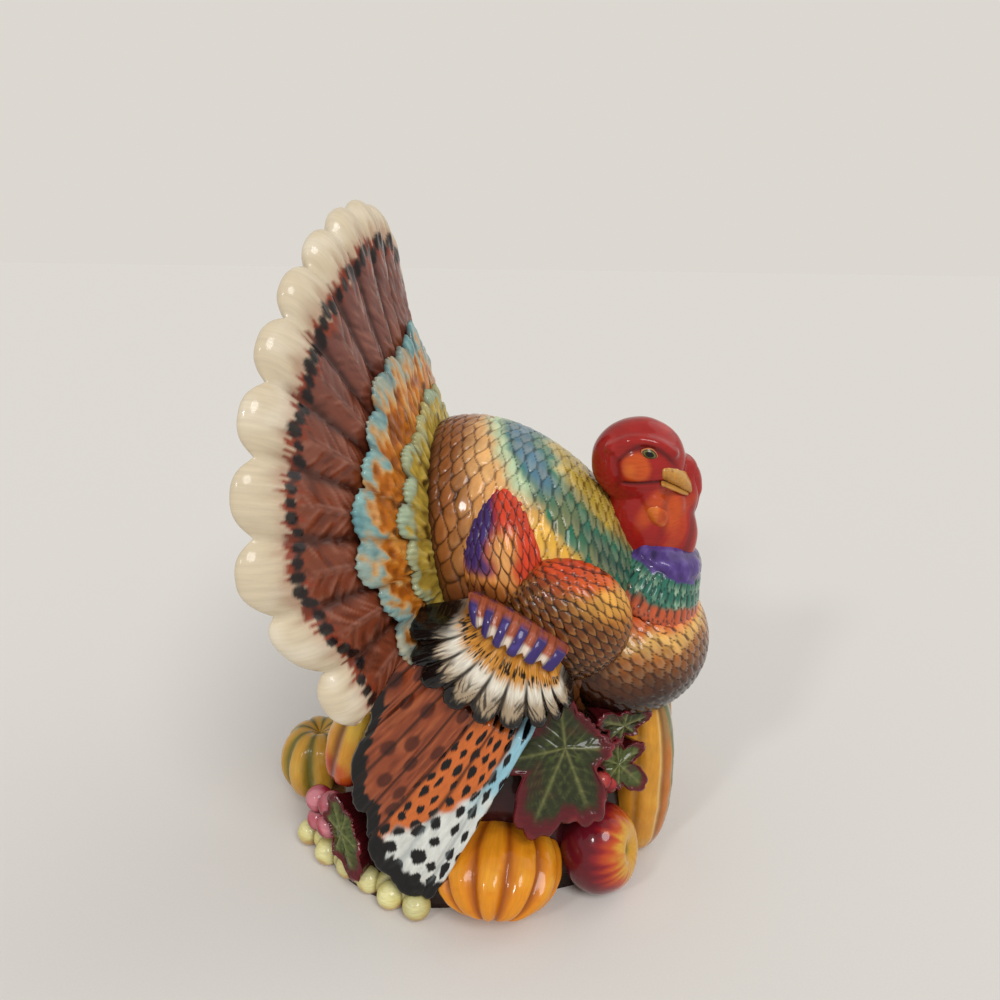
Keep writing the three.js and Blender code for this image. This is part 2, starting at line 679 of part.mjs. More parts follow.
function addPair(name, shape, material) {
  const solid = fitted(shape(), leftHalf);
  rightSide.add(meshOf(`${name}_right`, solid, material));
  leftSide.add(meshOf(`${name}_left`, solid, material));
  inPlace.push(shape(fitGap));
}

const throat = passage(throatRadius, 0, -torsoForward, castWall * 2, torsoMiddle.z);
const vent = passage(ventRadius, 0, ventBehind, -castWall, castWall * 3);
const tailSeatMiddle = fanMiddle.clone().add(at(0, tailSeat + fanThickness, -tailSeat / 4));

// All that lies behind the fan's front face, from a distance in front of it.
function behindFan(lift) {
  const vanes = fanLayer(1.1, -lift, 2 * tailSeat, { steps: fanPlaces.length, rings: 4 });
  const disc = new THREE.CylinderGeometry(fanHub, fanHub, tailSeat, medium);
  const quills = form(disc, (p) => at(p.x, p.y + tailSeat / 2 - lift + fanLean * p.z, p.z).add(fanMiddle));
  return joined(vanes, quills);
}

const tailHollow = egg(tailSeatMiddle, at(tailSeat, tailSeat, tailSeat));
const tailRecess = joined(behindFan(covertLift), tailHollow);
const torsoHollow = without(torsoForm(-castWall), behindFan(castWall), rumpForm(castWall));
const floor = form(new THREE.BoxGeometry(1000, 1000, 200), (p) => p.add(at(0, 0, castWall - 100)));
const roof = [torsoForm(castWall), breastForm(castWall), rumpForm(castWall), squashForm(castWall)];
const moundHollow = without(moundForm(-castWall), floor, ...roof);

addPiece("tail_fan", fanForm, glazes.rust);
addPiece("rump", rumpForm, glazes.feather);
addPiece("torso", torsoForm, glazes.feather, tailRecess, torsoHollow, throat);
addPiece("breast", breastForm, glazes.breast, breastForm(-castWall));
addPiece("base_mound", moundForm, glazes.earth, moundHollow, throat, vent);
addPiece("tail_coverts_major", (grow) => covertForm(majorCovertReach, 0, grow), glazes.covert);
addPiece("tail_coverts_minor", (grow) => covertForm(minorCovertReach, 1, grow), glazes.yellow);
addPiece("squash_rear", squashForm, glazes.gourd);

addPiece("neck_collar", collarForm, glazes.purple);
addPiece("head", headForm, glazes.red);
addPiece("beak_upper", (grow) => billForm(true, grow), glazes.horn);
addPiece("beak_lower", (grow) => billForm(false, grow), glazes.horn);
addPiece("snood", snoodForm, glazes.red);
addPair("eye", eyeForm, glazes.black);
addPair("wattle", wattleForm, glazes.red);

addPair("wing_shoulder", shoulderForm, glazes.feather);
addPair("scapular", scapularForm, glazes.feather);
addPair("wing_primaries", (grow) => featherSpread(primaries, grow), glazes.rust);
addPair("wing_secondaries", (grow) => featherSpread(secondaries, grow), glazes.cream);
addPair("wing_band", (grow) => featherSpread(band, grow), glazes.purple);

addPair("pumpkin", pumpkinForm, glazes.pumpkin);
addPair("apple", appleForm, glazes.apple);
addPair("gourd", gourdForm, glazes.gourd);
addPair("pepper", pepperForm, glazes.pepper);
addPair("grapes_green", (grow) => bunchForm(greenGrapePlaces, grapeRadius, grow), glazes.greenGrape);
addPair("grapes_red", (grow) => bunchForm(redGrapePlaces, grapeRadius, grow), glazes.grape);
addPair("breast_leaf", breastLeafForm, glazes.leaf);
addPair("small_leaf", smallLeafForm, glazes.leaf);
addPair("maple_leaf", mapleLeafForm, glazes.leaf);
addPair("vine_leaf", vineLeafForm, glazes.leaf);
addPair("berries", (grow) => bunchForm(berryPlaces, berryRadius, grow), glazes.grape);

export default figure;
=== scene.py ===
import itertools
import math

import bmesh
import bpy
import numpy as np
from mathutils import Matrix, Vector


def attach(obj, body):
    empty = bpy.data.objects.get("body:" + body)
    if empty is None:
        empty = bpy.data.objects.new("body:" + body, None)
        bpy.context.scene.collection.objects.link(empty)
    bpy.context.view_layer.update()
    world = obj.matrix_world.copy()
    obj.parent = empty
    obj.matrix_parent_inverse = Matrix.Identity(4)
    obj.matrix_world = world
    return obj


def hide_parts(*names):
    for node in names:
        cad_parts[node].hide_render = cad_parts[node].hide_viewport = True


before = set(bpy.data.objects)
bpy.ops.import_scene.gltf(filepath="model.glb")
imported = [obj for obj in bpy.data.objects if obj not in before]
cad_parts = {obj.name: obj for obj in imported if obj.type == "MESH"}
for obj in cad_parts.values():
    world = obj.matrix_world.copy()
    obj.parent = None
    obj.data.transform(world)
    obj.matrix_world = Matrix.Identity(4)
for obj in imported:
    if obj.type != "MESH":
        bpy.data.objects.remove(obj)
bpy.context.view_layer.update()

# Mound of earth under the fruit: a hollow dome of slip-cast earthenware with a low bank round
# its back. Its clay was thumbed into lumps, brushed dark brown and glazed with the rest.
# Sizes are in millimetres; the bird faces -Y, and its right side is -X.
MILLIMETRE = 0.001
MOUND_HALF = np.array([64, 86, 96])
MOUND_BACK = 6
MOUND_SHOULDER = 3.2  # 2 is an even dome, more is squarer
BANK_HALF = np.array([77, 71, 49])
BANK_BACK = 30
BANK_SHOULDER = 2
WELD = 0.01  # vertices nearer than this are one


def linear(colour):
    """An sRGB hex colour as linear red, green and blue."""
    shares = [int(colour[i:i + 2], 16) / 255 for i in (1, 3, 5)]
    return np.array([s / 12.92 if s <= 0.04045 else ((s + 0.055) / 1.055) ** 2.4 for s in shares])


def soft(low, high, value):
    """A soft step: 0 at low, 1 at high. low may be the higher of the two."""
    t = np.clip((value - low) / (high - low), 0, 1)
    return t * t * (3 - 2 * t)


def plain(colour, places):
    """One colour for every place."""
    return np.tile(linear(colour), (len(places), 1))


def brushed(paint, *coats):
    """Paint with coats laid over it in turn: each a colour and its cover, from 0, bare, to 1."""
    for colour, cover in zip(coats[::2], coats[1::2]):
        paint = paint + (linear(colour) - paint) * np.clip(cover, 0, 1)[:, None]
    return paint


def chance(*numbers):
    """A random number from 0 to 1 for each set of whole numbers."""
    mixed = np.zeros(np.shape(numbers[0]), np.int64)
    for number in numbers:
        mixed = (mixed * 374761393 + np.asarray(number).astype(np.int64) * 668265263 + 12345) & 0xFFFFFFFF
        mixed = ((mixed ^ (mixed >> 15)) * 2246822519) & 0xFFFFFFFF
    return ((mixed ^ (mixed >> 13)) & 0xFFFF) / 65535


def drift(places, size, seed=0):
    """Soft random variation from -1 to 1 over the given size."""
    cell = np.floor(places / size)
    inside = places / size - cell
    inside = inside * inside * (3 - 2 * inside)
    total = np.zeros(len(places))
    for corner in itertools.product((0, 1), repeat=places.shape[1]):
        weight = np.prod(np.where(corner, inside, 1 - inside), axis=1)
        total += weight * chance(*(cell + corner).T, np.full(len(places), seed))
    return 2 * total - 1


def add_node(tree, kind, inputs=None, **settings):
    """Adds a node with its settings, and sets or links its inputs."""
    made = tree.nodes.new(kind)
    for name, value in settings.items():
        setattr(made, name, value)
    for name, value in (inputs or {}).items():
        if isinstance(value, bpy.types.NodeSocket):
            tree.links.new(value, made.inputs[name])
        else:
            made.inputs[name].default_value = value
    return made


def underglaze(name, wash, stroke, streak=3.0, uneven=0.16, wash_cover=0.6, gloss=0.16):
    """Colours brushed on biscuit earthenware under a clear, fired glaze.

    The paint attribute holds the colours, the crevice attribute the dark wash that runs into the
    hollows with, on the feathers, a painted shadow under each overlapping tip, and the grain attribute
    the way the brush went, in millimetres across and along it.
    """
    material = bpy.data.materials.new(name)
    material.use_nodes = True
    tree = material.node_tree
    tree.nodes.clear()
    paint = add_node(tree, "ShaderNodeAttribute", attribute_name="paint")
    crevice = add_node(tree, "ShaderNodeAttribute", attribute_name="crevice")
    grain = add_node(tree, "ShaderNodeAttribute", attribute_name="grain")
    place = add_node(tree, "ShaderNodeTexCoord")
    drawn = add_node(tree, "ShaderNodeMapping", {
        "Vector": grain.outputs["Vector"], "Scale": (1 / stroke, 1 / (stroke * streak), 1)})
    strokes = add_node(tree, "ShaderNodeTexNoise", {
        "Vector": drawn.outputs["Vector"], "Scale": 1.0, "Detail": 3.0, "Roughness": 0.62})
    pooled = add_node(tree, "ShaderNodeTexNoise", {
        "Vector": place.outputs["Object"], "Scale": 1 / (9 * MILLIMETRE), "Detail": 2.0})
    lightness = add_node(tree, "ShaderNodeMapRange", {
        "Value": strokes.outputs["Fac"], "From Min": 0.25, "From Max": 0.75,
        "To Min": 1 - uneven, "To Max": 1 + uneven})
    streaked = add_node(tree, "ShaderNodeHueSaturation", {
        "Value": lightness.outputs["Result"], "Color": paint.outputs["Color"]})
    cover = add_node(tree, "ShaderNodeMath", {
        0: crevice.outputs["Fac"], 1: wash_cover}, operation="MULTIPLY", use_clamp=True)
    washed = add_node(tree, "ShaderNodeMix", {
        "Factor": cover.outputs["Value"], "A": streaked.outputs["Color"],
        "B": (*linear(wash), 1)}, data_type="RGBA")
    dulled = add_node(tree, "ShaderNodeMapRange", {
        "Value": pooled.outputs["Fac"], "From Min": 0.3, "From Max": 0.7,
        "To Min": gloss, "To Max": gloss + 0.12})
    ripple = add_node(tree, "ShaderNodeBump", {
        "Height": pooled.outputs["Fac"], "Strength": 0.12, "Distance": 0.6 * MILLIMETRE})
    brushmark = add_node(tree, "ShaderNodeBump", {
        "Height": strokes.outputs["Fac"], "Strength": 0.10, "Distance": 0.25 * MILLIMETRE,
        "Normal": ripple.outputs["Normal"]})
    glaze = add_node(tree, "ShaderNodeBsdfPrincipled", {
        "Base Color": washed.outputs["Result"], "Roughness": dulled.outputs["Result"],
        "Normal": brushmark.outputs["Normal"], "Coat Weight": 0.35, "Coat Roughness": 0.05,
        "Coat IOR": 1.5, "IOR": 1.5, "Specular IOR Level": 0.15})
    add_node(tree, "ShaderNodeOutputMaterial", {"Surface": glaze.outputs["BSDF"]})
    return material


def placed(name, mesh, slot, *nodes):
    """Puts a finished mesh in the scene as a piece of the figure."""
    piece = bpy.data.objects.new(name, mesh)
    bpy.context.scene.collection.objects.link(piece)
    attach(piece, "root")
    if nodes:
        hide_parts(*nodes)
    return piece


def cast(name, shape, rule, material, slot, *nodes):
    """Casts a shape: rule takes its vertices and gives their places, how far each then stands
    proud along its normal, its paint, its crevice wash and its grain."""
    mesh = bpy.data.meshes.new(name)
    shape.to_mesh(mesh)
    shape.free()
    start = np.empty(len(mesh.vertices) * 3)
    mesh.vertices.foreach_get("co", start)
    places, proud, paint, crevice, grain = rule(start.reshape(-1, 3))
    mesh.vertices.foreach_set("co", (places * MILLIMETRE).ravel())
    colours = np.column_stack([np.clip(paint, 0, 1), np.ones(len(paint))])
    mesh.attributes.new("paint", "FLOAT_COLOR", "POINT").data.foreach_set("color", colours.ravel())
    mesh.attributes.new("crevice", "FLOAT", "POINT").data.foreach_set("value", np.clip(crevice, 0, 1))
    mesh.attributes.new("grain", "FLOAT_VECTOR", "POINT").data.foreach_set("vector", grain.ravel())
    mesh.attributes.new("proud", "FLOAT", "POINT").data.foreach_set("value", proud)
    joined = bmesh.new()
    joined.from_mesh(mesh)
    bmesh.ops.remove_doubles(joined, verts=joined.verts, dist=WELD * MILLIMETRE)
    bmesh.ops.recalc_face_normals(joined, faces=joined.faces)
    joined.normal_update()
    height = joined.verts.layers.float["proud"]
    for vertex in joined.verts:
        vertex.co += vertex.normal * (vertex[height] * MILLIMETRE)
    joined.to_mesh(mesh)
    joined.free()
    mesh.attributes.remove(mesh.attributes["proud"])
    mesh.shade_smooth()
    mesh.materials.append(material)
    return placed(name, mesh, slot, *nodes)


def ball(columns, rings):
    """A ball of radius one with its poles on Z."""
    shape = bmesh.new()
    bmesh.ops.create_uvsphere(shape, u_segments=columns, v_segments=rings, radius=1)
    return shape


def heaped(half, back, shoulder):
    """A dome on a flat foot."""
    def rule(unit):
        flat = np.hypot(unit[:, 0], unit[:, 1])
        up = np.maximum(unit[:, 2], 0)
        swell = (flat ** shoulder + up ** shoulder) ** (-1 / shoulder)
        swell = np.where(up > 0, swell, 1)
        places = np.column_stack([unit[:, 0], unit[:, 1], up]) * swell[:, None] * half + [0, back, 0]
        lumps = drift(places, 15) + 0.6 * drift(places, 6, 1)
        proud = np.where(up > 0.02, 1.1 * lumps - 1, 0)
        paint = brushed(plain("#2b1911", unit),
            "#4c2c1a", soft(-0.2, 1.0, lumps),
            "#4a1420", soft(0.1, 0.6, drift(places, 26, 2)) * 0.8)
        return places, proud, paint, soft(0.1, -1.0, lumps), places
    return rule


earth = underglaze("brown underglaze on the earth mound", "#120a07", stroke=3)
cast("glazed_mound", ball(120, 90), heaped(MOUND_HALF, MOUND_BACK, MOUND_SHOULDER), earth,
     "earth_glaze", "base_mound")
cast("glazed_bank", ball(120, 70), heaped(BANK_HALF, BANK_BACK, BANK_SHOULDER), earth, "earth_glaze")

# Torso: one hollow casting, an egg with its tail end raised, covered with small overlapping
# feathers that hang down its sides. Tan over brown, with a blue-green sash towards the neck.
TORSO_MIDDLE = np.array([0, -18, 148])
TORSO_HALF = np.array([56, 70, 72])
TORSO_RISE = 36
TORSO_TAPER = 0.4  # narrowing of the front end
TORSO_FEATHER_DEPTH = 1.2
NARROW_FEATHER, BROAD_FEATHER = 2.8, 5.6
FEATHER_ROW = 8.0  # degrees round the torso from one row to the next
FAN_MIDDLE = np.array([0, 25, 165.5])
FAN_LEAN = 0.224
FAN_SWEEP = 0.0028


def torso_width(y):
    """Half width of the torso where its skin lies at y, from -1 in front to 1 at the tail."""
    return TORSO_HALF[0] * (1 - TORSO_TAPER * soft(0.35, 1, -y))


def fan_face(x, z):
    """Front face of the tail fan, as a distance along Y."""
    return FAN_MIDDLE[1] + FAN_LEAN * (z - FAN_MIDDLE[2]) + FAN_SWEEP * x * x


def feathered(across, down, width, length, seed=0):
    """Feathers that overlap like tiles.

    across counts feathers side by side, down counts rows; width and length are millimetres to
    one of each. Gives the relief from 0 to 1, the dark gap round each feather with a painted shadow
    just below the tip of the feather that overlaps it, a random number for each one and the share of
    the way to its tip.
    """
    row = np.floor(down)

    def lying_in(row):
        shift = 0.5 * np.mod(row, 2)
        column = np.floor(across - shift + 0.5)
        aside = 2 * (across - column - shift) + 0.3 * (chance(column, row, column + seed) - 0.5)
        aside = np.clip(aside, -1, 1)
        reach = 1 + 0.72 * (1 - np.abs(aside) ** 1.4) + 0.2 * (chance(row, column, row + seed) - 0.5)
        return aside, down - row, reach, chance(column, row, row + seed)

    over, under = lying_in(row - 1), lying_in(row)
    covers = over[1] < over[2]
    aside, along, reach, number = (np.where(covers, a, b) for a, b in zip(over, under))
    side = (1 - np.abs(aside)) * width / 2
    end = (reach - along) * length
    # Distance below the tip of the overlapping feather: the gap takes this in as a painted shadow of that
    # tip.
    below = np.where(covers, 9, np.maximum(over[1] - over[2], 0) * length)
    edge = np.minimum(side, end)
    gap = 1 - soft(0.05, 0.95, np.minimum(edge, below))
    crown = soft(0, 1, np.clip(edge / (0.32 * width), 0, 1)) ** 0.6
    relief = crown * (0.45 + 0.55 * along / reach)
    return relief, gap, number, along / reach


def from_pole(unit):
    """Degrees from the upper pole of a ball."""
    return np.degrees(np.arccos(np.clip(unit[:, 2], -1, 1)))


def bearing_of(unit):
    """Bearing round the poles of a ball, in radians."""
    return np.arctan2(unit[:, 1], unit[:, 0])


def torso_rule(unit):
    polar = np.interp(from_pole(unit), [0, 12, 168, 180], [0, 36, 131, 180])
    bearing = np.interp(np.degrees(bearing_of(unit)), [-180, -168, 168, 180], [-180, -124, 124, 180])
    a, b = np.radians(polar), np.radians(bearing)
    skin = np.column_stack([-np.sin(b) * np.sin(a), -np.cos(a), np.cos(b) * np.sin(a)])
    places = skin * TORSO_HALF + TORSO_MIDDLE
    places[:, 0] = skin[:, 0] * torso_width(skin[:, 1])
    places[:, 2] += TORSO_RISE * skin[:, 1]
    stop = fan_face(places[:, 0], places[:, 2]) - 3
    places[:, 1] = stop - 2.5 * np.logaddexp(0, (stop - places[:, 1]) / 2.5)

    down = np.abs(bearing) / FEATHER_ROW + 0.25 * drift(places, 12, 3)
    at_ridge = 84 + (polar - 84) / (1 + 0.45 * np.abs(b))
    degree = np.arange(181)
    widths = NARROW_FEATHER + (BROAD_FEATHER - NARROW_FEATHER) * np.clip((degree - 48) / 62, 0, 1)
    counted = np.cumsum(math.radians(1) * TORSO_HALF[1] / widths)
    across = np.interp(at_ridge, degree, counted) + 0.22 * drift(places, 9, 4)
    width = np.interp(at_ridge, degree, widths) * (1 + 0.3 * np.abs(b))
    length = math.radians(FEATHER_ROW) * 64 * np.sin(a)
    relief, gap, number, along = feathered(across, down, width, length, seed=11)

    y, z = places[:, 1], places[:, 2]
    wander = 3 * drift(places, 9, 5) + 1.5 * drift(places, 3, 6)
    sash = ((z - 213) - 1.18 * (y + 19)) / 1.55 + wander * 0.6
    half_sash = np.interp(z, [150, 190, 222], [8, 6.5, 5])
    dark = np.maximum(soft(0, 20, y + wander), soft(188, 162, z + wander) * soft(-30, 2, y))
    dark = np.maximum(dark, soft(150, 138, z + wander))
    paint = brushed(plain("#d3914a", unit),
        "#e2ac6c", soft(198, 216, z + wander),
        "#e0ac3c", soft(206, 186, z + wander) * soft(6, -18, y),
        "#b9a03c", soft(4, 9, sash),
        "#e0a836", soft(12, 17, sash) * soft(182, 192, z),
        "#86652f", soft(-52, -60, y) * soft(190, 180, z) * 0.8,
        "#b9d0a8", soft(half_sash + 5, half_sash, np.abs(sash + 2)) * soft(194, 208, z))
    tint = 0.8 + 0.4 * number
    paint = brushed(paint,
        "#1f6a50", soft(half_sash + 2.5, half_sash - 2, np.abs(sash)) * tint,
        "#4d7590", soft(6, 1, np.abs(sash + 0.5)) * soft(198, 208, z) * 0.85,
        "#0f4a42", soft(5, 0, np.abs(sash - 1)) * soft(198, 180, z) * 0.85,
        "#8a4f26", dark * 0.95,
        "#4a2616", soft(16, 30, y + wander) * 0.7 + soft(174, 150, z) * soft(-14, 8, y) * 0.8
                   + soft(146, 132, z) * 0.6)
    paint *= (0.84 + 0.32 * number)[:, None]
    # Painted highlight: a pale cream sheen on the uncovered tip of each feather, away from the dark parts.
    lit = (1 - gap) * soft(0.3, 0.9, along)
    paint = brushed(paint, "#f0d9ac", lit * 0.14 * (1 - dark))
    # Dark lines in the gaps between the feathers, with a painted shadow just below the tip of each feather
    # that overlaps the next.
    line = gap * (0.72 + 0.28 * dark)
    green = soft(half_sash + 4, half_sash, np.abs(sash))
    paint = brushed(paint,
        "#5a2e10", line * (1 - green),
        "#0c2e28", line * green)
    rear = soft(-9, -4, places[:, 1] - stop)
    paint = brushed(paint, "#4a2a24", rear * 0.85)
    relief = relief * (1 - rear)
    grain = np.column_stack([across * 5, down * 9, number])
    proud = TORSO_FEATHER_DEPTH * relief * np.interp(polar, [45, 110], [0.7, 1])
    # The crevice wash also darkens the gaps and the painted shadow under the feather tips.
    return places, proud, paint, gap * (0.3 + 0.7 * dark), grain


plumage = underglaze("brown and tan underglaze on the plumage", "#1c0d07", stroke=1.6)
cast("glazed_torso", ball(400, 215), torso_rule, plumage, "feather_glaze", "torso")

# Breast: a rounder casting in front of the torso, with feathers that spread down and forward from
# the neck: blue-green at the collar, orange, then yellow, browning to black underneath.
BREAST_MIDDLE = np.array([0, -59, 118.5])
BREAST_HALF = np.array([52, 47, 37.5])


def feather_ball(middle, half, crown, columns, row, depth, reach, colour, seed):
    """A rule for an egg whose feathers run down all round from its crown, a direction.

    columns counts the feathers round it, row and depth are their length and relief in
    millimetres, and reach is how far from the crown they go, in degrees.
    """
    up = np.array(crown, float) / np.linalg.norm(crown)
    right = np.array([1.0, 0, 0])
    right -= up * up[0]
    right /= np.linalg.norm(right)
    back = np.cross(up, right)
    size = float(np.mean(half))

    def rule(unit):
        polar = np.radians(np.interp(from_pole(unit), [0, 8, 170, 180], [0, 8, reach, 180]))
        bearing = bearing_of(unit)
        skin = (np.outer(np.sin(polar) * np.cos(bearing), right)
                + np.outer(np.sin(polar) * np.sin(bearing), back) + np.outer(np.cos(polar), up))
        places = skin * half + middle
        across = bearing / (2 * math.pi) * columns + 0.2 * drift(places, 8, seed)
        down = polar * size / row + 0.25 * drift(places, 10, seed + 1)
        width = 2 * math.pi * size * np.maximum(np.sin(polar), 0.15) / columns
        relief, gap, number, along = feathered(across, down, width, row, seed=seed)
        paint = colour(places, gap, number, along)
        proud = depth * relief * soft(0.1, 0.4, np.sin(polar))
        # The crevice wash darkens the gaps between feathers and the painted shadow under each overlapping
        # tip.
        return places, proud, paint, gap * 0.5, np.column_stack([across * 5, down * row, number])
    return rule


def breast_colour(places, gap, number, along):
    y, z = places[:, 1], places[:, 2]
    level = z + 2.5 * drift(places, 10, 21) + 1.5 * drift(places, 3, 22) - 0.3 * np.maximum(y + 68, 0)
    from_neck = np.hypot(places[:, 0], y + 80)
    paint = brushed(plain("#d8943c", places),
        "#e0b060", soft(127, 132, level) * soft(141, 134, level),
        "#d2581c", soft(134, 142, level),
        "#c2391a", soft(141, 148, level) * 0.6,
        "#1f6650", soft(150.5, 153.5, level) * soft(46, 34, from_neck),
        "#5f8f86", soft(153, 157, level) * number,
        "#97561f", soft(137, 127, level),
        "#552c12", soft(131, 117, level),
        "#1a0d08", soft(120, 102, level))
    paint *= (0.82 + 0.36 * number)[:, None]
    # Painted highlight on the uncovered feather tips, then dark gaps with a painted shadow under each
    # overlapping tip.
    return brushed(paint,
        "#f2dcae", (1 - gap) * soft(0.3, 0.9, along) * 0.13 * soft(112, 128, level),
        "#3c1a0a", gap * np.interp(level, [100, 118, 135, 150], [0.95, 0.95, 0.8, 0.85]))


cast("glazed_breast", ball(330, 130),
     feather_ball(BREAST_MIDDLE, BREAST_HALF, crown=(0, 0.45, 0.89), columns=52, row=7.0, depth=1.0,
                  reach=150, colour=breast_colour, seed=31),
     plumage, "breast_glaze", "breast")

# Rump: the fluffed feathers under the tail, a separate casting luted between the fan and the
# mound. Only the back shows it, in plain brown.
RUMP_MIDDLE = np.array([0, 34, 118])
RUMP_HALF = np.array([44, 34, 52])


def rump_colour(places, gap, number, along):
    paint = brushed(plain("#8a5630", places),
        "#caa27a", soft(0.2, 0.9, along) * 0.35,
        "#4a2818", soft(120, 80, places[:, 2]) * 0.8)
    paint *= (0.85 + 0.3 * number)[:, None]
    # Dark gaps between the feathers, with a painted shadow under each overlapping tip.
    return brushed(paint, "#24120a", gap * 0.85)


cast("glazed_rump", ball(200, 110),
     feather_ball(RUMP_MIDDLE, RUMP_HALF, crown=(0, -0.2, 1), columns=40, row=9, depth=1.1,
                  reach=160, colour=rump_colour, seed=41),
     plumage, "feather_glaze", "rump")

# Tail fan: one pressed casting of nineteen feathers, swept back at its sides, with fat rounded
# tips. Brown vanes with pale shafts, a row of black spots, then cream tips.
FAN_HALF_WIDTH = 123
FAN_HEIGHT = 158
FAN_FEATHERS = 19
FAN_STEP = 11.1  # degrees from feather to feather at the top
FAN_SPREAD = 0.0054  # growth of that step down the sides
FAN_LOW_SHARE = 0.88
FAN_LOBE = 6
FAN_RIM = 5  # the rounded tips beyond the reach
FAN_RIM_START = 0.93
FAN_HALF_DEPTH, FAN_TIP_SWELL = 4.5, 2.6
SPOTS_PER_FEATHER = 5


def fan_sheet(columns, rows):
    """A flat sheet from -1 to 1, across the fan and then along it."""
    sheet = bmesh.new()
    bmesh.ops.create_grid(sheet, x_segments=columns, y_segments=rows, size=1)
    return sheet


def across_fan(sheet):
    """Feather place, its number, how far across it from -1 to 1, and the bearing in radians."""
    place = (sheet[:, 0] + 1) / 2 * FAN_FEATHERS - 0.5
    number = np.clip(np.round(place), 0, FAN_FEATHERS - 1)
    from_top = place - FAN_FEATHERS // 2
    bearing = np.radians(FAN_STEP * from_top + FAN_SPREAD * from_top ** 3)
    return number, 2 * (place - number), bearing


def folded(sheet, edge):
    """A sheet folded over its tip: share of the way round it, from the foot of the front to the
    foot of the back, and the turn at the tip in radians. edge is the share at which the tip starts."""
    way = (sheet[:, 1] + 1) / 2
    return way, np.radians(np.interp(way, [0, edge, 1 - edge, 1], [-90, -90, 90, 90]))


def closed_ends(sheet, width):
    """Thickness of a sheet towards its two sides, from 0 at the edge, rounded, to 1."""
    inside = np.clip((1 - np.abs(sheet[:, 0])) / 2 / width, 0, 1)
    return np.sqrt(1 - (1 - inside) ** 2)


def on_fan(bearing, out, inset, depth):
    """A place on the fan: share of the reach, distance taken off it, and depth behind the face."""
    low = soft(80, 100, np.abs(np.degrees(bearing)))
    share = out * (1 - (1 - FAN_LOW_SHARE) * low)
    x = -np.sin(bearing) * (FAN_HALF_WIDTH * share - inset)
    z = np.cos(bearing) * (FAN_HEIGHT * share - inset) + FAN_MIDDLE[2]
    return np.column_stack([x, fan_face(x, z) + depth, z])


def fan_rule(sheet):
    number, aside, bearing = across_fan(sheet)
    way, turn = folded(sheet, 0.47)
    inward = np.interp(way, [0, 0.05, 0.47, 0.53, 0.95, 1],
                       [0.05, 0.40, FAN_RIM_START, FAN_RIM_START, 0.40, 0.05])
    out = inward + (1 - FAN_RIM_START) * np.cos(turn)
    tip = soft(0.74, 0.94, out)
    round_end = closed_ends(sheet, 0.4 / FAN_FEATHERS)
    half = (FAN_HALF_DEPTH + FAN_TIP_SWELL * tip) * (1 - 0.42 * tip * np.abs(aside) ** 3)
    half *= soft(0.05, 0.12, out) * round_end
    notch = FAN_LOBE * np.abs(aside) ** 2.6 * out ** 4 - FAN_RIM * soft(0.7, 1.0, out)
    front = np.sin(turn) < 0
    depth = FAN_HALF_DEPTH + half * np.sin(turn)
    depth += 8 * np.exp(-(out / 0.13) ** 2) * ~front * soft(0.05, 0.12, out) * round_end
    places = on_fan(bearing, out, notch, depth)

    along = out * 150
    across = aside * 12 * out
    beside = np.abs(across)
    streaks = drift(np.column_stack([0.82 * beside - 0.57 * along, (0.82 * along + 0.57 * beside) / 7
                                     + 31 * number + 7 * (aside > 0)]), 1.25, 51)
    vane = soft(0.92, 0.86, out)
    furrow = np.abs(aside) ** 2
    shaft = np.exp(-(aside / 0.07) ** 2) * soft(0.9, 0.75, out)
    wrinkle = drift(np.column_stack([across * 1.0 + 40 * number, along / 9]), 1.9, 55)
    proud = -2.2 * furrow * soft(0.1, 0.4, out) * (1 - 0.4 * tip) + 0.8 * shaft + 0.4 * streaks * vane
    proud += 0.8 * wrinkle * soft(0.86, 0.91, out) * soft(0.99, 0.94, out)
    proud[~front] *= 0.6

    upper = soft(215, 300, places[:, 2])
    patch = drift(places, 22, 52)
    paint = brushed(plain("#7c3d26", sheet),
        "#744a44", upper * 0.85,
        "#97531f", soft(0.2, 0.8, patch) * soft(0.75, 0.55, out) * 0.6,
        "#a8705c", soft(0.15, 0.85, streaks) * 0.5,
        "#3f1c13", soft(-0.05, -0.8, streaks) * 0.55,
        "#32150f", soft(0.6, 1, np.abs(aside)) * 0.6 * vane,
        "#b58d7e", np.exp(-((np.abs(aside) - 0.05) / 0.035) ** 2) * soft(0.9, 0.75, out) * 0.7)
    ragged = out + 0.030 * drift(np.column_stack([across * 1.6 + 40 * number, along * 0]), 1.1, 53)
    ragged += 0.018 * (1 - np.abs(aside))
    paint = brushed(paint, "#8c3a22", soft(0.87, 0.905, ragged))
    cream = soft(0.912, 0.93, ragged)
    paint = brushed(paint,
        "#d2c2a6", cream,
        "#e4dac6", cream * soft(0.0, 0.8, drift(places, 9, 54)) * 0.6,
        # Painted shade: a greyer brown in the hollows of the wrinkles on the cream tips.
        "#a98a70", cream * soft(0.1, -0.7, wrinkle) * soft(0.99, 0.93, out) * 0.6,
        "#b98d74", cream * soft(0.965, 0.91, out) * 0.45)
    spot = np.clip(np.round((aside + 1) / 2 * SPOTS_PER_FEATHER - 0.5), 0, SPOTS_PER_FEATHER - 1)
    middle = (2 * spot + 1) / SPOTS_PER_FEATHER - 1
    wide = (aside - middle) / 0.17
    tall = (out - 0.899 - 0.014 * (chance(number, spot) - 0.5) + 0.018 * np.abs(middle)) / 0.02
    size = 0.8 + 0.45 * chance(spot, number)
    inked = soft(1.25, 0.85, np.hypot(wide, tall) / size) * front
    paint = brushed(paint, "#0f0f11", inked * 0.97)
    crevice = soft(0.75, 1, np.abs(aside)) * (1 - cream)
    return places, proud, paint, crevice * 0.7, np.column_stack([across + 40 * number, along, number])


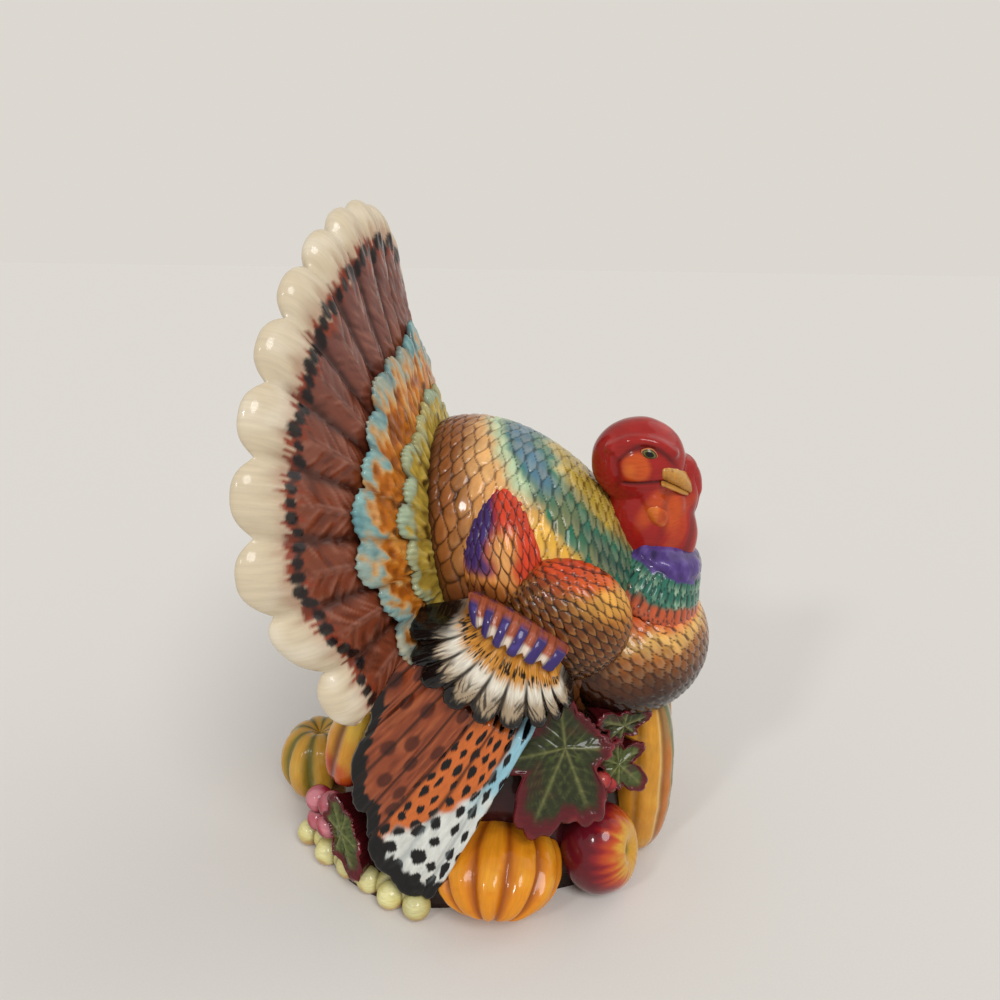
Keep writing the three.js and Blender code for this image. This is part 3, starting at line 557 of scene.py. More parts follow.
tail = underglaze("brown and cream underglaze on the tail", "#1d0b08", stroke=1.4, streak=8, uneven=0.09)
cast("glazed_tail_fan", fan_sheet(FAN_FEATHERS * 22, 212), fan_rule, tail, "tail_glaze", "tail_fan")

# Tail coverts: two pressed tiers of short crinkled feathers laid on the foot of the fan. The long
# tier is orange with blue-green tips, the short one olive yellow with curled relief.
MAJOR_REACH, MINOR_REACH = 0.66, 0.49
MAJOR_LIFT, MINOR_LIFT = 2.8, 6.0


def covert_rule(reach, lift, colour, seed):
    """A tier of coverts: its share of the fan's reach, and its lift off the fan's face."""
    def rule(sheet):
        bearing = across_fan(sheet)[2]
        way, turn = folded(sheet, 0.47)
        inward = np.interp(way, [0, 0.06, 0.47, 0.53, 0.94, 1], [0.2, 0.3, 0.95, 0.95, 0.3, 0.2])
        share = inward + 0.05 * np.cos(turn)
        counted = (sheet[:, 0] + 1) / 2 * FAN_FEATHERS
        cell = np.floor(counted)
        beside = 2 * (counted % 1) - 1
        side = soft(30, 100, np.abs(np.degrees(bearing)))
        stretch = 1 + 0.10 * side + 0.10 * (chance(cell, cell + seed) - 0.5)
        out = share * reach * stretch
        notch = 4 * np.abs(beside) ** 2 * share ** 3 + 1.6 * np.abs(np.sin(3 * math.pi * beside)) * share ** 6
        half = 1.7 * soft(0.2, 0.35, share) * closed_ends(sheet, 0.4 / FAN_FEATHERS)
        places = on_fan(bearing, out, notch, -lift + half * np.sin(turn))
        along = share * reach * 150
        across = cell * 17 + beside * 7
        folds = drift(np.column_stack([across + 0.35 * along, along / 3.5]), 2.2, seed)
        curl = drift(places, 4.5, seed + 1)
        front = np.sin(turn) < 0
        proud = (0.5 * (1 - beside ** 2) + 0.8 * folds + 0.7 * curl) * soft(0.25, 0.5, share) * front
        paint = colour(places, share, folds, curl, cell)
        crevice = soft(0.7, 1, np.abs(beside)) * 0.6 + soft(-0.1, -0.7, folds) * 0.35
        return places, proud, paint, crevice, np.column_stack([across, along, cell])
    return rule


def major_colour(places, share, folds, curl, cell):
    paint = brushed(plain("#c2701f", places),
        "#dc9a44", soft(0.1, 0.8, folds) * 0.8,
        "#8a4516", soft(0.0, -0.7, curl) * 0.75)
    ragged = share + 0.09 * curl + 0.07 * folds + 0.05 * (chance(cell, cell + 7) - 0.5)
    return brushed(paint,
        "#dcb87c", soft(0.84, 0.90, ragged) * 0.6,
        "#7faaa8", soft(0.89, 0.95, ragged) * (0.55 + 0.45 * chance(cell, cell + 3)),
        "#4f8088", soft(0.94, 1.0, ragged) * soft(0, 0.6, folds) * 0.7,
        "#331a0b", soft(0.42, 0.7, curl) * soft(0.88, 0.75, share) * 0.85)


def minor_colour(places, share, folds, curl, cell):
    paint = brushed(plain("#b89c3e", places),
        "#d0b862", soft(0, 0.7, folds) * 0.7)
    ragged = share + 0.08 * curl + 0.06 * folds
    return brushed(paint,
        "#8fae9c", soft(0.90, 0.97, ragged) * (0.3 + 0.5 * chance(cell, cell + 3)),
        "#7d5a1c", soft(0.1, 0.7, curl) * soft(0.95, 0.8, share) * 0.7,
        "#33200c", soft(0.42, 0.75, curl) * soft(0.92, 0.8, share) * 0.85,
        "#c09638", soft(0.74, 0.6, share) * 0.9)


covert = underglaze("orange and olive underglaze on the coverts", "#3a1d0c", stroke=1.5, streak=4, uneven=0.2)
cast("glazed_major_coverts", fan_sheet(FAN_FEATHERS * 20, 120),
     covert_rule(MAJOR_REACH, MAJOR_LIFT, major_colour, seed=61), covert,
     "covert_glaze", "tail_coverts_major")
cast("glazed_minor_coverts", fan_sheet(FAN_FEATHERS * 20, 100),
     covert_rule(MINOR_REACH, MINOR_LIFT, minor_colour, seed=71), covert,
     "olive_glaze", "tail_coverts_minor")

# Wing shoulder and scapular on each side: two feathered lobes luted to the torso. The shoulder is
# orange on top and browns downwards; the lobe above it has a purple and a red edge.
SHOULDER_MIDDLE = np.array([-51.5, -35.5, 149.8])
SHOULDER_HALF = np.array([18, 31, 29])
SCAPULAR_MIDDLE = np.array([-46, -8.5, 178])
SCAPULAR_HALF = np.array([8, 17.5, 28])
LOBE_FEATHER_DEPTH = 1.1


def pitched(places, degrees):
    """Places turned about X."""
    return places @ np.array(Matrix.Rotation(math.radians(degrees), 3, "X")).T


def lobe_rule(middle, half, pitch, hang, width, row, colour, seed, flame=0):
    """A lobe that lies on the torso, its feathers hanging one way all over it.

    hang is that way along Y and Z; width and row are the size of a feather. flame narrows the top
    of the lobe and spreads its foot.
    """
    hang = np.array(hang) / np.linalg.norm(hang)

    def rule(unit):
        polar = np.radians(np.interp(from_pole(unit), [0, 160, 180], [0, 112, 180]))
        bearing = bearing_of(unit)
        skin = np.column_stack([
            -np.cos(polar), np.sin(polar) * np.cos(bearing), np.sin(polar) * np.sin(bearing)])
        shaped = skin * half
        shaped[:, 1] *= 1 - flame * skin[:, 2]
        shaped[:, 1] += flame * half[1] * 0.8 * skin[:, 2]
        places = pitched(shaped, pitch) + middle
        if flame:
            y = np.clip((places[:, 1] - TORSO_MIDDLE[1]) / TORSO_HALF[1], -0.95, 0.95)
            z = (places[:, 2] - TORSO_MIDDLE[2] - TORSO_RISE * y) / TORSO_HALF[2]
            under = torso_width(y) * np.sqrt(np.maximum(1 - y ** 2 - z ** 2, 0.03))
            places[:, 0] = -under + half[0] * skin[:, 0] + 1.5
        flat = np.column_stack([half[1] * np.arcsin(np.clip(skin[:, 1], -1, 1)),
                                half[2] * np.arcsin(np.clip(skin[:, 2], -1, 1))])
        down = flat @ hang / row + 0.25 * drift(places, 9, seed) + 20
        across = flat @ [hang[1], -hang[0]] / width + 0.2 * drift(places, 8, seed + 1) + 40
        relief, gap, number, along = feathered(across, down, width, row, seed=seed)
        paint = colour(places, skin, gap, number, along)
        grain = np.column_stack([across * 5, down * row, number])
        proud = LOBE_FEATHER_DEPTH * relief * soft(115, 90, np.degrees(polar))
        # The crevice wash darkens the gaps between feathers and the painted shadow under each overlapping
        # tip.
        return places, proud, paint, gap * 0.8, grain
    return rule


def pair(name, shape, rule, material, slot, node):
    """Casts a piece for the bird's right side, and its mirror image for the left."""
    right = cast(f"glazed_right_{name}", shape, rule, material, slot, f"{node}_right")
    mesh = right.data.copy()
    mesh.transform(Matrix.Scale(-1, 4, (1, 0, 0)))
    mesh.flip_normals()
    placed(f"glazed_left_{name}", mesh, slot, f"{node}_left")


def shoulder_colour(places, skin, gap, number, along):
    wander = 0.12 * drift(places, 8, 81)
    y, z = skin[:, 1], skin[:, 2] + wander
    dark = soft(-0.45, 0.15, 0.8 * y - 0.8 * z + 0.5)
    paint = brushed(plain("#c9802c", places),
        "#dca04a", soft(0.0, 0.4, z) * soft(0.7, 0.4, z) * soft(0.4, -0.4, y),
        "#d2581c", soft(0.40, 0.68, z),
        "#c2381a", soft(0.68, 0.9, z) * 0.7,
        "#6b3a18", dark,
        # Painted shadow: near black at the rear foot of the shoulder, where the secondaries lie against it.
        "#1f0f08", soft(-0.2, 0.7, 0.8 * y - 0.8 * z) * 0.85)
    paint *= (0.82 + 0.36 * number)[:, None]
    return brushed(paint,
        "#d79a52", (1 - gap) * soft(0.55, 0.95, along) * 0.35 * dark,
        # Dark gaps between the feathers, with a painted shadow under each overlapping tip.
        "#1c0c05", gap * (0.8 + 0.2 * dark))


def scapular_colour(places, skin, gap, number, along):
    wander = 0.14 * drift(places, 7, 82)
    y, z = skin[:, 1] + wander, skin[:, 2] + wander
    paint = brushed(plain("#d3883c", places),
        "#e3a25e", soft(-0.4, 0.0, z) * soft(0.5, 0.1, z) * soft(0.6, 0.1, np.abs(y)))
    rim = np.maximum(soft(0.35, 0.7, z), soft(-0.15, -0.5, y) * soft(-0.5, -0.1, z))
    paint = brushed(paint,
        "#c83c1c", rim,
        "#9a2230", soft(0.0, 0.35, y) * soft(-0.4, 0.1, z) * 0.85,
        "#3d2a68", soft(0.22, 0.45, y) * soft(-0.35, 0.0, z),
        "#7a4220", soft(-0.2, -0.6, z),
        "#33190e", soft(-0.5, -0.9, z) * 0.8)
    paint *= (0.84 + 0.32 * number)[:, None]
    # Dark gaps between the feathers, with a painted shadow under each overlapping tip.
    return brushed(paint, "#42160c", gap * 0.8)


pair("shoulder", ball(200, 120),
     lobe_rule(SHOULDER_MIDDLE, SHOULDER_HALF, pitch=-12, hang=(-0.5, -0.85), width=4.4, row=6.0,
               colour=shoulder_colour, seed=91),
     plumage, "feather_glaze", "wing_shoulder")
pair("scapular", ball(180, 110),
     lobe_rule(SCAPULAR_MIDDLE, SCAPULAR_HALF, pitch=6, hang=(-0.2, -1), width=4.8, row=6.4,
               colour=scapular_colour, seed=95, flame=0.3),
     plumage, "feather_glaze", "scapular")

# Wing feathers on each side, three pressed sheets: rust flight feathers barred black and white
# below, white secondaries with black tips over them, and a narrow band of purple bars.
WING_ROUNDING = 3.0
WING_MIDDLE = np.array([-51.5, -34.8, 153.8])


def through(points, share):
    """A smooth line through points, read at shares of its length in points."""
    points = np.array(points, float)
    points = np.vstack([2 * points[0] - points[1], points, 2 * points[-1] - points[-2]])
    spans = len(points) - 3
    place = np.clip(share, 0, 1) * spans
    first = np.minimum(np.floor(place).astype(int), spans - 1)
    t = (place - first)[:, None]
    p0, p1, p2, p3 = (points[first + i] for i in range(4))
    return 0.5 * (2 * p1 + (p2 - p0) * t + (2 * p0 - 5 * p1 + 4 * p2 - p3) * t ** 2
                  + (3 * p1 - p0 - 3 * p2 + p3) * t ** 3)


def wing_rule(roots, tips, quills, thickness, bulge, lobe, ridge, colour):
    """A sheet of quills from a line of roots to a line of tips, set out from the shoulder.

    bulge is how far its middle stands out, lobe gives the rounding of each tip and ridge the relief
    of each quill, all in millimetres.
    """
    def rule(sheet):
        across = (sheet[:, 0] + 1) / 2
        way, turn = folded(sheet, 0.46)
        along = np.interp(way, [0, 0.46, 0.54, 1], [0, 1, 1, 0])
        quill = np.minimum(np.floor(across * quills), quills - 1)
        aside = 2 * (across * quills - quill) - 1
        crest = 1 - aside ** 2
        root = through(roots, across) + WING_MIDDLE
        run = through(tips, across) + WING_MIDDLE - root
        span = np.linalg.norm(run, axis=1)
        front = np.sin(turn) < 0
        reach = along + (lobe(crest) * along ** 3 + WING_ROUNDING * np.cos(turn)) / span
        places = root + run * reach[:, None]
        full = closed_ends(sheet, 0.45 / quills) * soft(0, 0.08, along)
        swell = bulge * np.sin(math.pi * along) * front
        places[:, 0] += thickness / 2 * (1 + np.sin(turn) * full) - swell * full
        paint, crevice, relief = colour(places, across, along, aside, span)
        proud = (ridge * (crest - 0.5) * soft(0, 0.15, along) + relief) * front
        grain = np.column_stack([across * quills * 9, along * span, quill])
        return places, proud, paint, crevice * front, grain
    return rule


def diamonds(across, along, wide, tall, seed):
    """Staggered dabs: how far each place is from the middle of its own dab, and that dab's number."""
    row = np.floor(along / tall)
    shifted = across / wide + 0.5 * np.mod(row, 2)
    column = np.floor(shifted)
    x = (shifted - column - 0.5 + 0.4 * (chance(column, row, row + seed) - 0.5)) * 2
    y = (along / tall - row - 0.5 + 0.4 * (chance(row, column, row + seed) - 0.5)) * 2
    return x, y, chance(column, row, column + seed)


def primary_colour(places, across, along, aside, span):
    length = along * span
    wander = drift(places, 6, 101)
    streak = drift(np.column_stack([across * 90, length / 8]), 1.2, 102)
    paint = brushed(plain("#8c4326", places),
        "#a65a35", soft(0, 0.8, streak) * 0.6,
        "#5a2718", soft(0, -0.8, streak) * 0.5)
    x, y, number = diamonds(across * 8, length, 1, 13, 5)
    paint = brushed(paint, "#45190e", soft(0.8, 0.5, np.hypot(x * 1.3, y * 0.9)) * (number > 0.25) * 0.85)
    place = across + 0.02 * wander
    orange = soft(0.62, 0.66, place)
    paint = brushed(paint, "#c9682e", orange)
    pale = soft(0, 0.03, place - np.interp(along, [0, 0.34, 0.52, 0.8], [0.88, 0.85, 0.76, 0.66]))
    paint = brushed(paint,
        "#d6d8d2", pale,
        "#8dbccb", pale * soft(0.5, 0.3, along + 0.1 * wander),
        "#9aa7a8", pale * soft(0.3, 0.8, streak) * 0.5)
    x, y, number = diamonds(across * 105, length, 7.4, 11.5, 9)
    dab = np.abs(x) ** 1.25 * 1.25 + np.abs(y) ** 1.25 * 0.9 + 0.3 * drift(places, 3.2, 103)
    inked = soft(0.82, 0.68, dab / (0.72 + 0.5 * number)) * pale
    x, y, number = diamonds(across * 105, length, 5.4, 9.5, 15)
    stroke = np.abs(x) ** 1.3 * 1.3 + np.abs(y) ** 1.3 * 0.85 + 0.3 * drift(places, 2.6, 104)
    stroked = soft(0.8, 0.62, stroke / (0.7 + 0.5 * number)) * soft(0.6, 0.64, place) * (1 - pale)
    inked = np.maximum(inked, stroked)
    paint = brushed(paint, "#0b0b0d", inked * 1.4)
    from_tip = (1 - along) * span
    black = soft(11.5, 9, from_tip + 2.4 * streak + 1.4 * wander)
    paint = brushed(paint, "#09090a", black)
    gap = soft(0.78, 1, np.abs(aside))
    paint = brushed(paint,
        "#2a120b", gap * (1 - pale) * 0.75,
        "#7d8a8c", gap * pale * (1 - black) * 0.45)
    relief = 0.35 * streak - 0.3 * inked
    return paint, gap * 0.5 * (1 - pale), relief


def secondary_colour(places, across, along, aside, span):
    length = along * span
    wander = drift(places, 5, 111)
    streak = drift(np.column_stack([across * 110 + 14 * along * aside, length / 5]), 1.1, 112)
    root = along + 0.06 * streak + 0.04 * wander
    paint = brushed(plain("#e2dac8", places),
        "#f1ece2", soft(-0.1, 0.7, streak) * 0.8,
        "#9a7c52", soft(0.56, 0.78, along + 0.10 * streak) * 0.75,
        "#cc8c36", soft(0.52, 0.36, root))
    fleck = soft(-0.05, 0.3, drift(np.column_stack([across * 130, length / 2.2]), 1.0, 113))
    cluster = np.exp(-((along - 0.36 - 0.05 * wander) / 0.085) ** 2) * soft(1.0, 0.6, np.abs(aside))
    paint = brushed(paint, "#17100a", fleck * soft(0.2, 0.5, cluster))
    slanted = np.column_stack([across * 100 + 22 * along * np.sign(aside), length / 6])
    hatch = soft(0.2, 0.55, drift(slanted, 1.0, 114))
    paint = brushed(paint, "#241a12", hatch * soft(0.55, 0.72, along) * 0.85)
    tipped = along + 0.08 * streak - 0.16 * soft(0.15, 0.5, across)
    paint = brushed(paint, "#0b0a0a", soft(0.70, 0.80, tipped))
    gap = soft(0.72, 1, np.abs(aside))
    paint = brushed(paint,
        "#17110c", gap * soft(0.3, 0.6, along) * 0.9,
        "#0d0c0c", soft(0.12, 0.03, across) * soft(0.35, 0.6, along + 0.1 * streak))
    return paint, gap * soft(0.3, 0.6, along), 0.45 * streak


def band_colour(places, across, along, aside, span):
    bar = soft(0.56, 0.44, np.abs(aside + 0.15 * (along - 0.5)))
    streak = drift(places, 2.2, 121)
    paint = brushed(plain("#a5553a", places),
        "#e3d2c0", soft(0.45, 0.8, along + 0.12 * streak),
        "#382a66", bar * soft(0.02, 0.10, along),
        "#57499a", bar * soft(0.2, 0.9, streak) * 0.45,
        "#3a1c12", soft(0.75, 0.62, np.abs(aside)) * (1 - bar) * 0.25)
    return paint, np.exp(-((np.abs(aside) - 0.62) / 0.08) ** 2) * 0.6, 0.9 * bar


flight = underglaze("rust, white and black underglaze on the wing", "#160a06", stroke=1.2, streak=7,
                    uneven=0.18)
pair("primaries", fan_sheet(8 * 30, 200), wing_rule(
    roots=[(-16, 65, -8), (-24, 38, -32), (-26, 6, -46)],
    tips=[(-20, 82, -29), (-22, 86, -37), (-24, 82, -47.5), (-26, 89, -61), (-28.5, 93, -80),
          (-30, 90, -93.5), (-30.5, 85, -99.5), (-32, 86, -112), (-33, 79, -127), (-34, 67.5, -137),
          (-34.5, 57, -138), (-34.5, 50, -129)],
    quills=8, thickness=26, bulge=3, lobe=lambda crest: crest - 0.5, ridge=1.7, colour=primary_colour),
    flight, "wing_glaze", "wing_primaries")
pair("secondaries", fan_sheet(9 * 24, 110), wing_rule(
    roots=[(-18, 28, 8), (-26, 16, 0), (-26, 0, -12)],
    tips=[(-18, 60, 2), (-27, 55, -20), (-33, 30, -34), (-31, 4, -34), (-26, -6, -24)],
    quills=9, thickness=20, bulge=6, lobe=lambda crest: 4 * crest, ridge=2.0, colour=secondary_colour),
    flight, "cream_glaze", "wing_secondaries")
pair("band", fan_sheet(6 * 24, 60), wing_rule(
    roots=[(-21, 39.5, 14), (-29, 17, 8), (-29, -6, -6)],
    tips=[(-24, 37.5, 8.5), (-34, 20, 1), (-32, -3, -9.5)],
    quills=6, thickness=12, bulge=1, lobe=lambda crest: 1.5 * crest, ridge=1.0, colour=band_colour),
    flight, "purple_glaze", "wing_band")

# Collar at the foot of the neck: a band of clay dabbed into soft tufts and painted purple, with a ruff
# of blue-green feathers spreading from under it.
COLLAR_MIDDLE = np.array([0, -80, 161])
COLLAR_PROFILE = [(-20, 30), (-14, 27.5), (-8, 25), (-2.5, 22.4), (2.5, 20.6), (7, 19.2), (10.5, 15), (14, 4)]
COLLAR_WIDE = 1.24  # its width, share of its depth
COLLAR_PITCH = 24


def collar_rule(unit):
    share = 1 - from_pole(unit) / 180
    bearing = bearing_of(unit)
    height, radius = through(COLLAR_PROFILE, share).T
    radius = radius * np.sqrt(np.clip(np.minimum(share, 1 - share) / 0.04, 0, 1))
    places = np.column_stack([radius * COLLAR_WIDE * np.cos(bearing), radius * np.sin(bearing), height])
    places = pitched(places, COLLAR_PITCH) + COLLAR_MIDDLE
    turned = np.degrees(bearing)
    tuft = drift(places, 4.2, 131) + 0.5 * drift(places, 2.0, 133)
    relief, gap, number, along = feathered(turned / 360 * 38, 20 - height / 6.5, 4.2, 6.5, seed=132)
    paint = brushed(plain("#493374", unit),
        "#6a569c", soft(0.1, 0.9, tuft) * 0.6,
        "#1f143c", soft(0, -0.9, tuft) * 0.8)
    ruff = soft(2.2, 0.8, height + 1.2 * tuft)
    paint = brushed(paint,
        "#2b6a58", ruff,
        "#a9c3a4", ruff * soft(0.55, 0.9, along) * (1 - gap) * number * 0.8,
        "#c4522a", soft(-8, -12, height + 2 * tuft) * 0.9,
        # Dark gaps in the ruff, with a painted shadow under each overlapping feather tip.
        "#0f2f2a", ruff * gap * 0.85)
    grain = np.column_stack([turned * 0.4, height, turned * 0])
    proud = (0.45 * tuft * (1 - ruff) + 0.9 * relief * ruff) * soft(0, 0.08, share) * soft(1, 0.92, share)
    # The crevice wash darkens the ruff's gaps and the painted shadow under its feather tips.
    return places, proud, paint, gap * ruff * 0.5, grain


purple = underglaze("purple underglaze on the collar", "#0d0818", stroke=1.0, streak=6, uneven=0.25)
cast("glazed_collar", ball(200, 60), collar_rule, purple, "purple_glaze", "neck_collar")

# Head and neck: bare skin modelled in one lump, with brows over the eyes, full cheeks and folds down
# the throat. Glossy red, with orange cheeks and orange streaks on the folds.
WATTLE_PITCH = -26
HEAD_LUMPS = [  # middle, half size and pitch of each swelling
    ((0, -66.8, 210.5), (17, 22.6, 21.6), 0),
    ((0, -72, 201.8), (13.3, 10.8, 12.8), 0),
    ((0, -72.5, 178), (17, 19.5, 28), -14),
    ((0, -84, 174), (12.5, 13, 22), 0),
    ((3, -86, 192), (9, 10.5, 17), 0),
    ((-5.5, -83.5, 189), (6, 6.5, 14), -4),
    ((4, -86.5, 207), (7, 9.5, 7.5), 24),
    *[((side * (11.4 - 0.011 * (y + 66) ** 2), y, 224 - 0.032 * (y + 67) ** 2), (4.4, 4.4, 3.2), 0)
      for side in (-1, 1) for y in range(-81, -53, 2)],
    *[((side * 10.6, -67, 211), (6.4, 10, 7), 0) for side in (-1, 1)],
    *[((side * 10, -75.5, 191), (6.6, 6.8, 12), WATTLE_PITCH) for side in (-1, 1)],
]
SKIN_GRAIN = 0.75
SKIN_BLENDING = 22  # rounds of smoothing


def skinned(lumps):
    """One smooth skin over overlapping eggs."""
    clay = bmesh.new()
    for middle, half, pitch in lumps:
        place = Matrix.Translation(Vector(middle)) @ Matrix.Rotation(math.radians(pitch), 4, "X")
        bmesh.ops.create_uvsphere(clay, u_segments=48, v_segments=32, radius=1,
                                  matrix=place @ Matrix.Diagonal((*half, 1)))
    mesh = bpy.data.meshes.new("clay")
    clay.to_mesh(mesh)
    clay.free()
    lump = bpy.data.objects.new("clay", mesh)
    bpy.context.scene.collection.objects.link(lump)
    remesh = lump.modifiers.new("skin", "REMESH")
    remesh.mode = "VOXEL"
    remesh.voxel_size = SKIN_GRAIN
    blend = lump.modifiers.new("blend", "SMOOTH")
    blend.factor = 0.5
    blend.iterations = SKIN_BLENDING
    bpy.context.view_layer.update()
    skin = bmesh.new()
    skin.from_object(lump, bpy.context.evaluated_depsgraph_get())
    bpy.data.objects.remove(lump)
    return skin


def head_rule(places):
    x, y, z = np.abs(places[:, 0]), places[:, 1], places[:, 2]
    side = soft(4, 8, x)
    low = soft(200, 192, z)
    front = soft(-74, -84, y)
    folds = np.sin(2 * math.pi * (y + 0.25 * z + 5 * drift(places, 13, 141)) / 15)
    mouth_line = 204.6 - 0.5 * np.cos((y + 62) / 5.5)
    mouth = np.exp(-((z - mouth_line) / 0.9) ** 2) * soft(-57.5, -61, y) * side
    brow_line = 221.6 - 0.045 * (y + 69.5) ** 2
    brow = np.exp(-((z - brow_line) / 1.5) ** 2) * soft(-53, -58, y) * soft(-88, -80, y) * side
    jaw_line = 0.02 * (z - 206) ** 2 - 57.5
    jaw = np.exp(-((y - jaw_line) / 1.6) ** 2) * soft(196, 203, z) * soft(219, 214, z) * side
    proud = 0.3 * folds * low * front - 0.9 * mouth - 0.6 * brow - 0.5 * jaw + 0.25 * drift(places, 7, 143)
    paint = brushed(plain("#9c1e1b", places),
        # Painted sheen: lighter red patches towards the crown, where the glaze catches the light.
        "#b53530", soft(0.0, 0.8, drift(places, 10, 144)) * soft(212, 226, z) * 0.7,
        "#7a1416", soft(0.0, -0.9, drift(places, 12, 147)) * 0.5)
    cheek = np.hypot((y + 65.6 + 1.5 * drift(places, 6, 145)) / 6.8, (z - 212) / 7)
    above_mouth = soft(0, 1.5, z - mouth_line)
    paint = brushed(paint,
        "#c5511c", soft(1.25, 0.75, cheek) * side * above_mouth,
        "#d66c22", soft(0.8, 0.1, np.hypot((y + 63) / 5, (z - 210.5) / 6)) * side * 0.7,
        "#c04a20", soft(0.0, 0.8, folds) * low * front * 0.5,
        "#c9571f", soft(1.2, 0.4, np.hypot((y + 83.5) / 5.5, (z - 190) / 12)) * soft(2, 5, x) * 0.7,
        "#6c1214", soft(-0.2, -0.9, folds) * low * front * 0.4,
        "#c9571f", soft(1.15, 0.4, np.hypot((y + 74 + 0.5 * (z - 192)) / 6, (z - 192) / 12)) * side * 0.6,
        # Painted shadow under the brow ridge, and painted shade in the crease along the jaw.
        "#4a0c0e", np.maximum(brow * 0.75, jaw * 0.4),
        "#3a0a0a", mouth * 0.9)
    return places, proud, paint, soft(-0.5, -1, folds) * low * front * 0.4, places


skin = underglaze("red underglaze on the bare skin", "#3a0808", stroke=2.2, uneven=0.14, gloss=0.1)
cast("glazed_head", skinned(HEAD_LUMPS), head_rule, skin, "red_glaze", "head")

# Bill: a broad wedge of horn colour whose ridge bends down to a blunt hook, and a thin lower half under
# it, both pressed into the face.
BILL_ROOT = -77
BILL_HALF_WIDTH = 15
BILL_ASIDE = -1.5  # away from the snood
BILL_OVERLAP = 1.6
BILL_SHARES = [0, 0.2, 0.5, 0.8, 0.94, 1]
BILL_RIDGE = [215, 214, 211.4, 206.4, 202.2, 199.8]
BILL_GAPE = [204.8, 203.8, 201.2, 198.2, 196.8, 196.6]
LOWER_BILL_DEPTH = [2.6, 2.4, 2.0, 1.6, 1.2, 1]


def bill_rule(length, ridge, foot, nostril):
    """Half of the bill, between two lines given as heights at the shares of its length."""
    def rule(unit):
        along = (1 - unit[:, 2]) / 2
        section = np.maximum(np.sqrt(1 - unit[:, 2] ** 2), 0.4)
        top, low = (np.interp(along, BILL_SHARES, line) for line in (ridge, foot))
        wide = BILL_HALF_WIDTH * (1 - 0.7 * along ** 1.7) / section ** 0.5
        flat = np.sign(unit[:, 0]) * np.abs(unit[:, 0]) ** 0.6
        places = np.column_stack([flat * wide + BILL_ASIDE, BILL_ROOT - length * along,
                                  (top + low) / 2 + unit[:, 1] / section * (top - low) / 2])
        growth = drift(np.column_stack([along * 30, unit[:, 0] * 2]), 2.5, 151)
        paint = brushed(plain("#b8813a", unit),
            "#cfa055", soft(0.1, 0.8, unit[:, 1]) * 0.6,
            "#8a5a24", soft(0.0, -0.8, growth) * 0.4,
            "#5a3614", soft(0.9, 1.0, along) * 0.4)
        hole = np.hypot((along - 0.34) / 0.04, (unit[:, 1] - 0.5) / 0.12)
        paint = brushed(paint, "#5a3614", soft(1.1, 0.7, hole) * nostril * 0.5)
        return places, 0.12 * growth, paint, soft(-0.6, -0.95, unit[:, 1]) * 0.9, places
    return rule


horn = underglaze("ochre underglaze on the bill", "#2a1608", stroke=1.2, gloss=0.12)
cast("glazed_upper_bill", ball(48, 60), bill_rule(15.8, BILL_RIDGE, BILL_GAPE, nostril=1), horn,
     "horn_glaze", "beak_upper")
lower_bill = [np.array(BILL_GAPE) + BILL_OVERLAP, np.array(BILL_GAPE) - LOWER_BILL_DEPTH]
cast("glazed_lower_bill", ball(48, 60), bill_rule(14.4, *lower_bill, nostril=0), horn,
     "horn_glaze", "beak_lower")

# Snood: a roll of red flesh that grows from the brow and hangs down the far side of the bill.
SNOOD_RADIUS = 4.6
SNOOD_PATH = [(0, -80, 213), (2.5, -88.5, 208.5), (5, -93, 201.5), (4.5, -92.5, 190), (3, -88.5, 176)]


def snood_rule(unit):
    along = from_pole(unit) / 180
    middle = through(SNOOD_PATH, along)
    tangent = through(SNOOD_PATH, along + 0.01) - through(SNOOD_PATH, along - 0.01)
    tangent /= np.linalg.norm(tangent, axis=1)[:, None]
    across = np.cross(tangent, [1, 0, 0])
    across /= np.linalg.norm(across, axis=1)[:, None]
    other = np.cross(tangent, across)
    flat = np.hypot(unit[:, 0], unit[:, 1])
    around = bearing_of(unit)
    radius = SNOOD_RADIUS * np.minimum(1, (np.minimum(along, 1 - along) / 0.08)) ** 0.5
    places = middle + across * (np.cos(around) * radius)[:, None] + other * (np.sin(around) * radius)[:, None]
    wrinkle = drift(places, 4, 161)
    paint = brushed(plain("#a02421", unit),
        "#c05236", soft(0.2, 0.9, wrinkle) * 0.45,
        "#5c0f10", soft(-0.2, -0.9, wrinkle) * 0.6)
    return places, 0.3 * wrinkle * (flat > 0.05), paint, soft(-0.4, -1, wrinkle) * 0.4, places


cast("glazed_snood", ball(40, 110), snood_rule, skin, "red_glaze", "snood")

# Eyes and wattles: beads of clay pressed on. The eyes have a dark pupil, an olive ring and a pale
# lid; the wattles are orange drops that hang on the neck.
EYE_MIDDLE = np.array([-14.2, -71, 218.8])
EYE_HALF = np.array([2.6, 4.3, 2.5])
EYE_PITCH = 20
WATTLE_MIDDLE = np.array([-12.2, -74.5, 192.5])
WATTLE_HALF = np.array([5.4, 5.4, 12])


def eye_rule(unit):
    almond = unit * EYE_HALF
    almond[:, 2] *= 1 - 0.45 * unit[:, 1] ** 2
    places = pitched(almond, EYE_PITCH) + EYE_MIDDLE
    from_pupil = np.hypot(unit[:, 1] + 0.1, unit[:, 2] - 0.05)
    paint = brushed(plain("#7d1a17", unit),
        "#d48a58", soft(1.0, 0.94, from_pupil),
        "#1f1008", soft(0.84, 0.79, from_pupil),
        "#6f6a38", soft(0.74, 0.68, from_pupil),
        "#0a0908", soft(0.54, 0.48, from_pupil))
    proud = 0.25 * np.exp(-((from_pupil - 0.86) / 0.1) ** 2)
    return places, proud, paint, soft(0.04, 0, np.abs(from_pupil - 0.94)) * 0.8, places


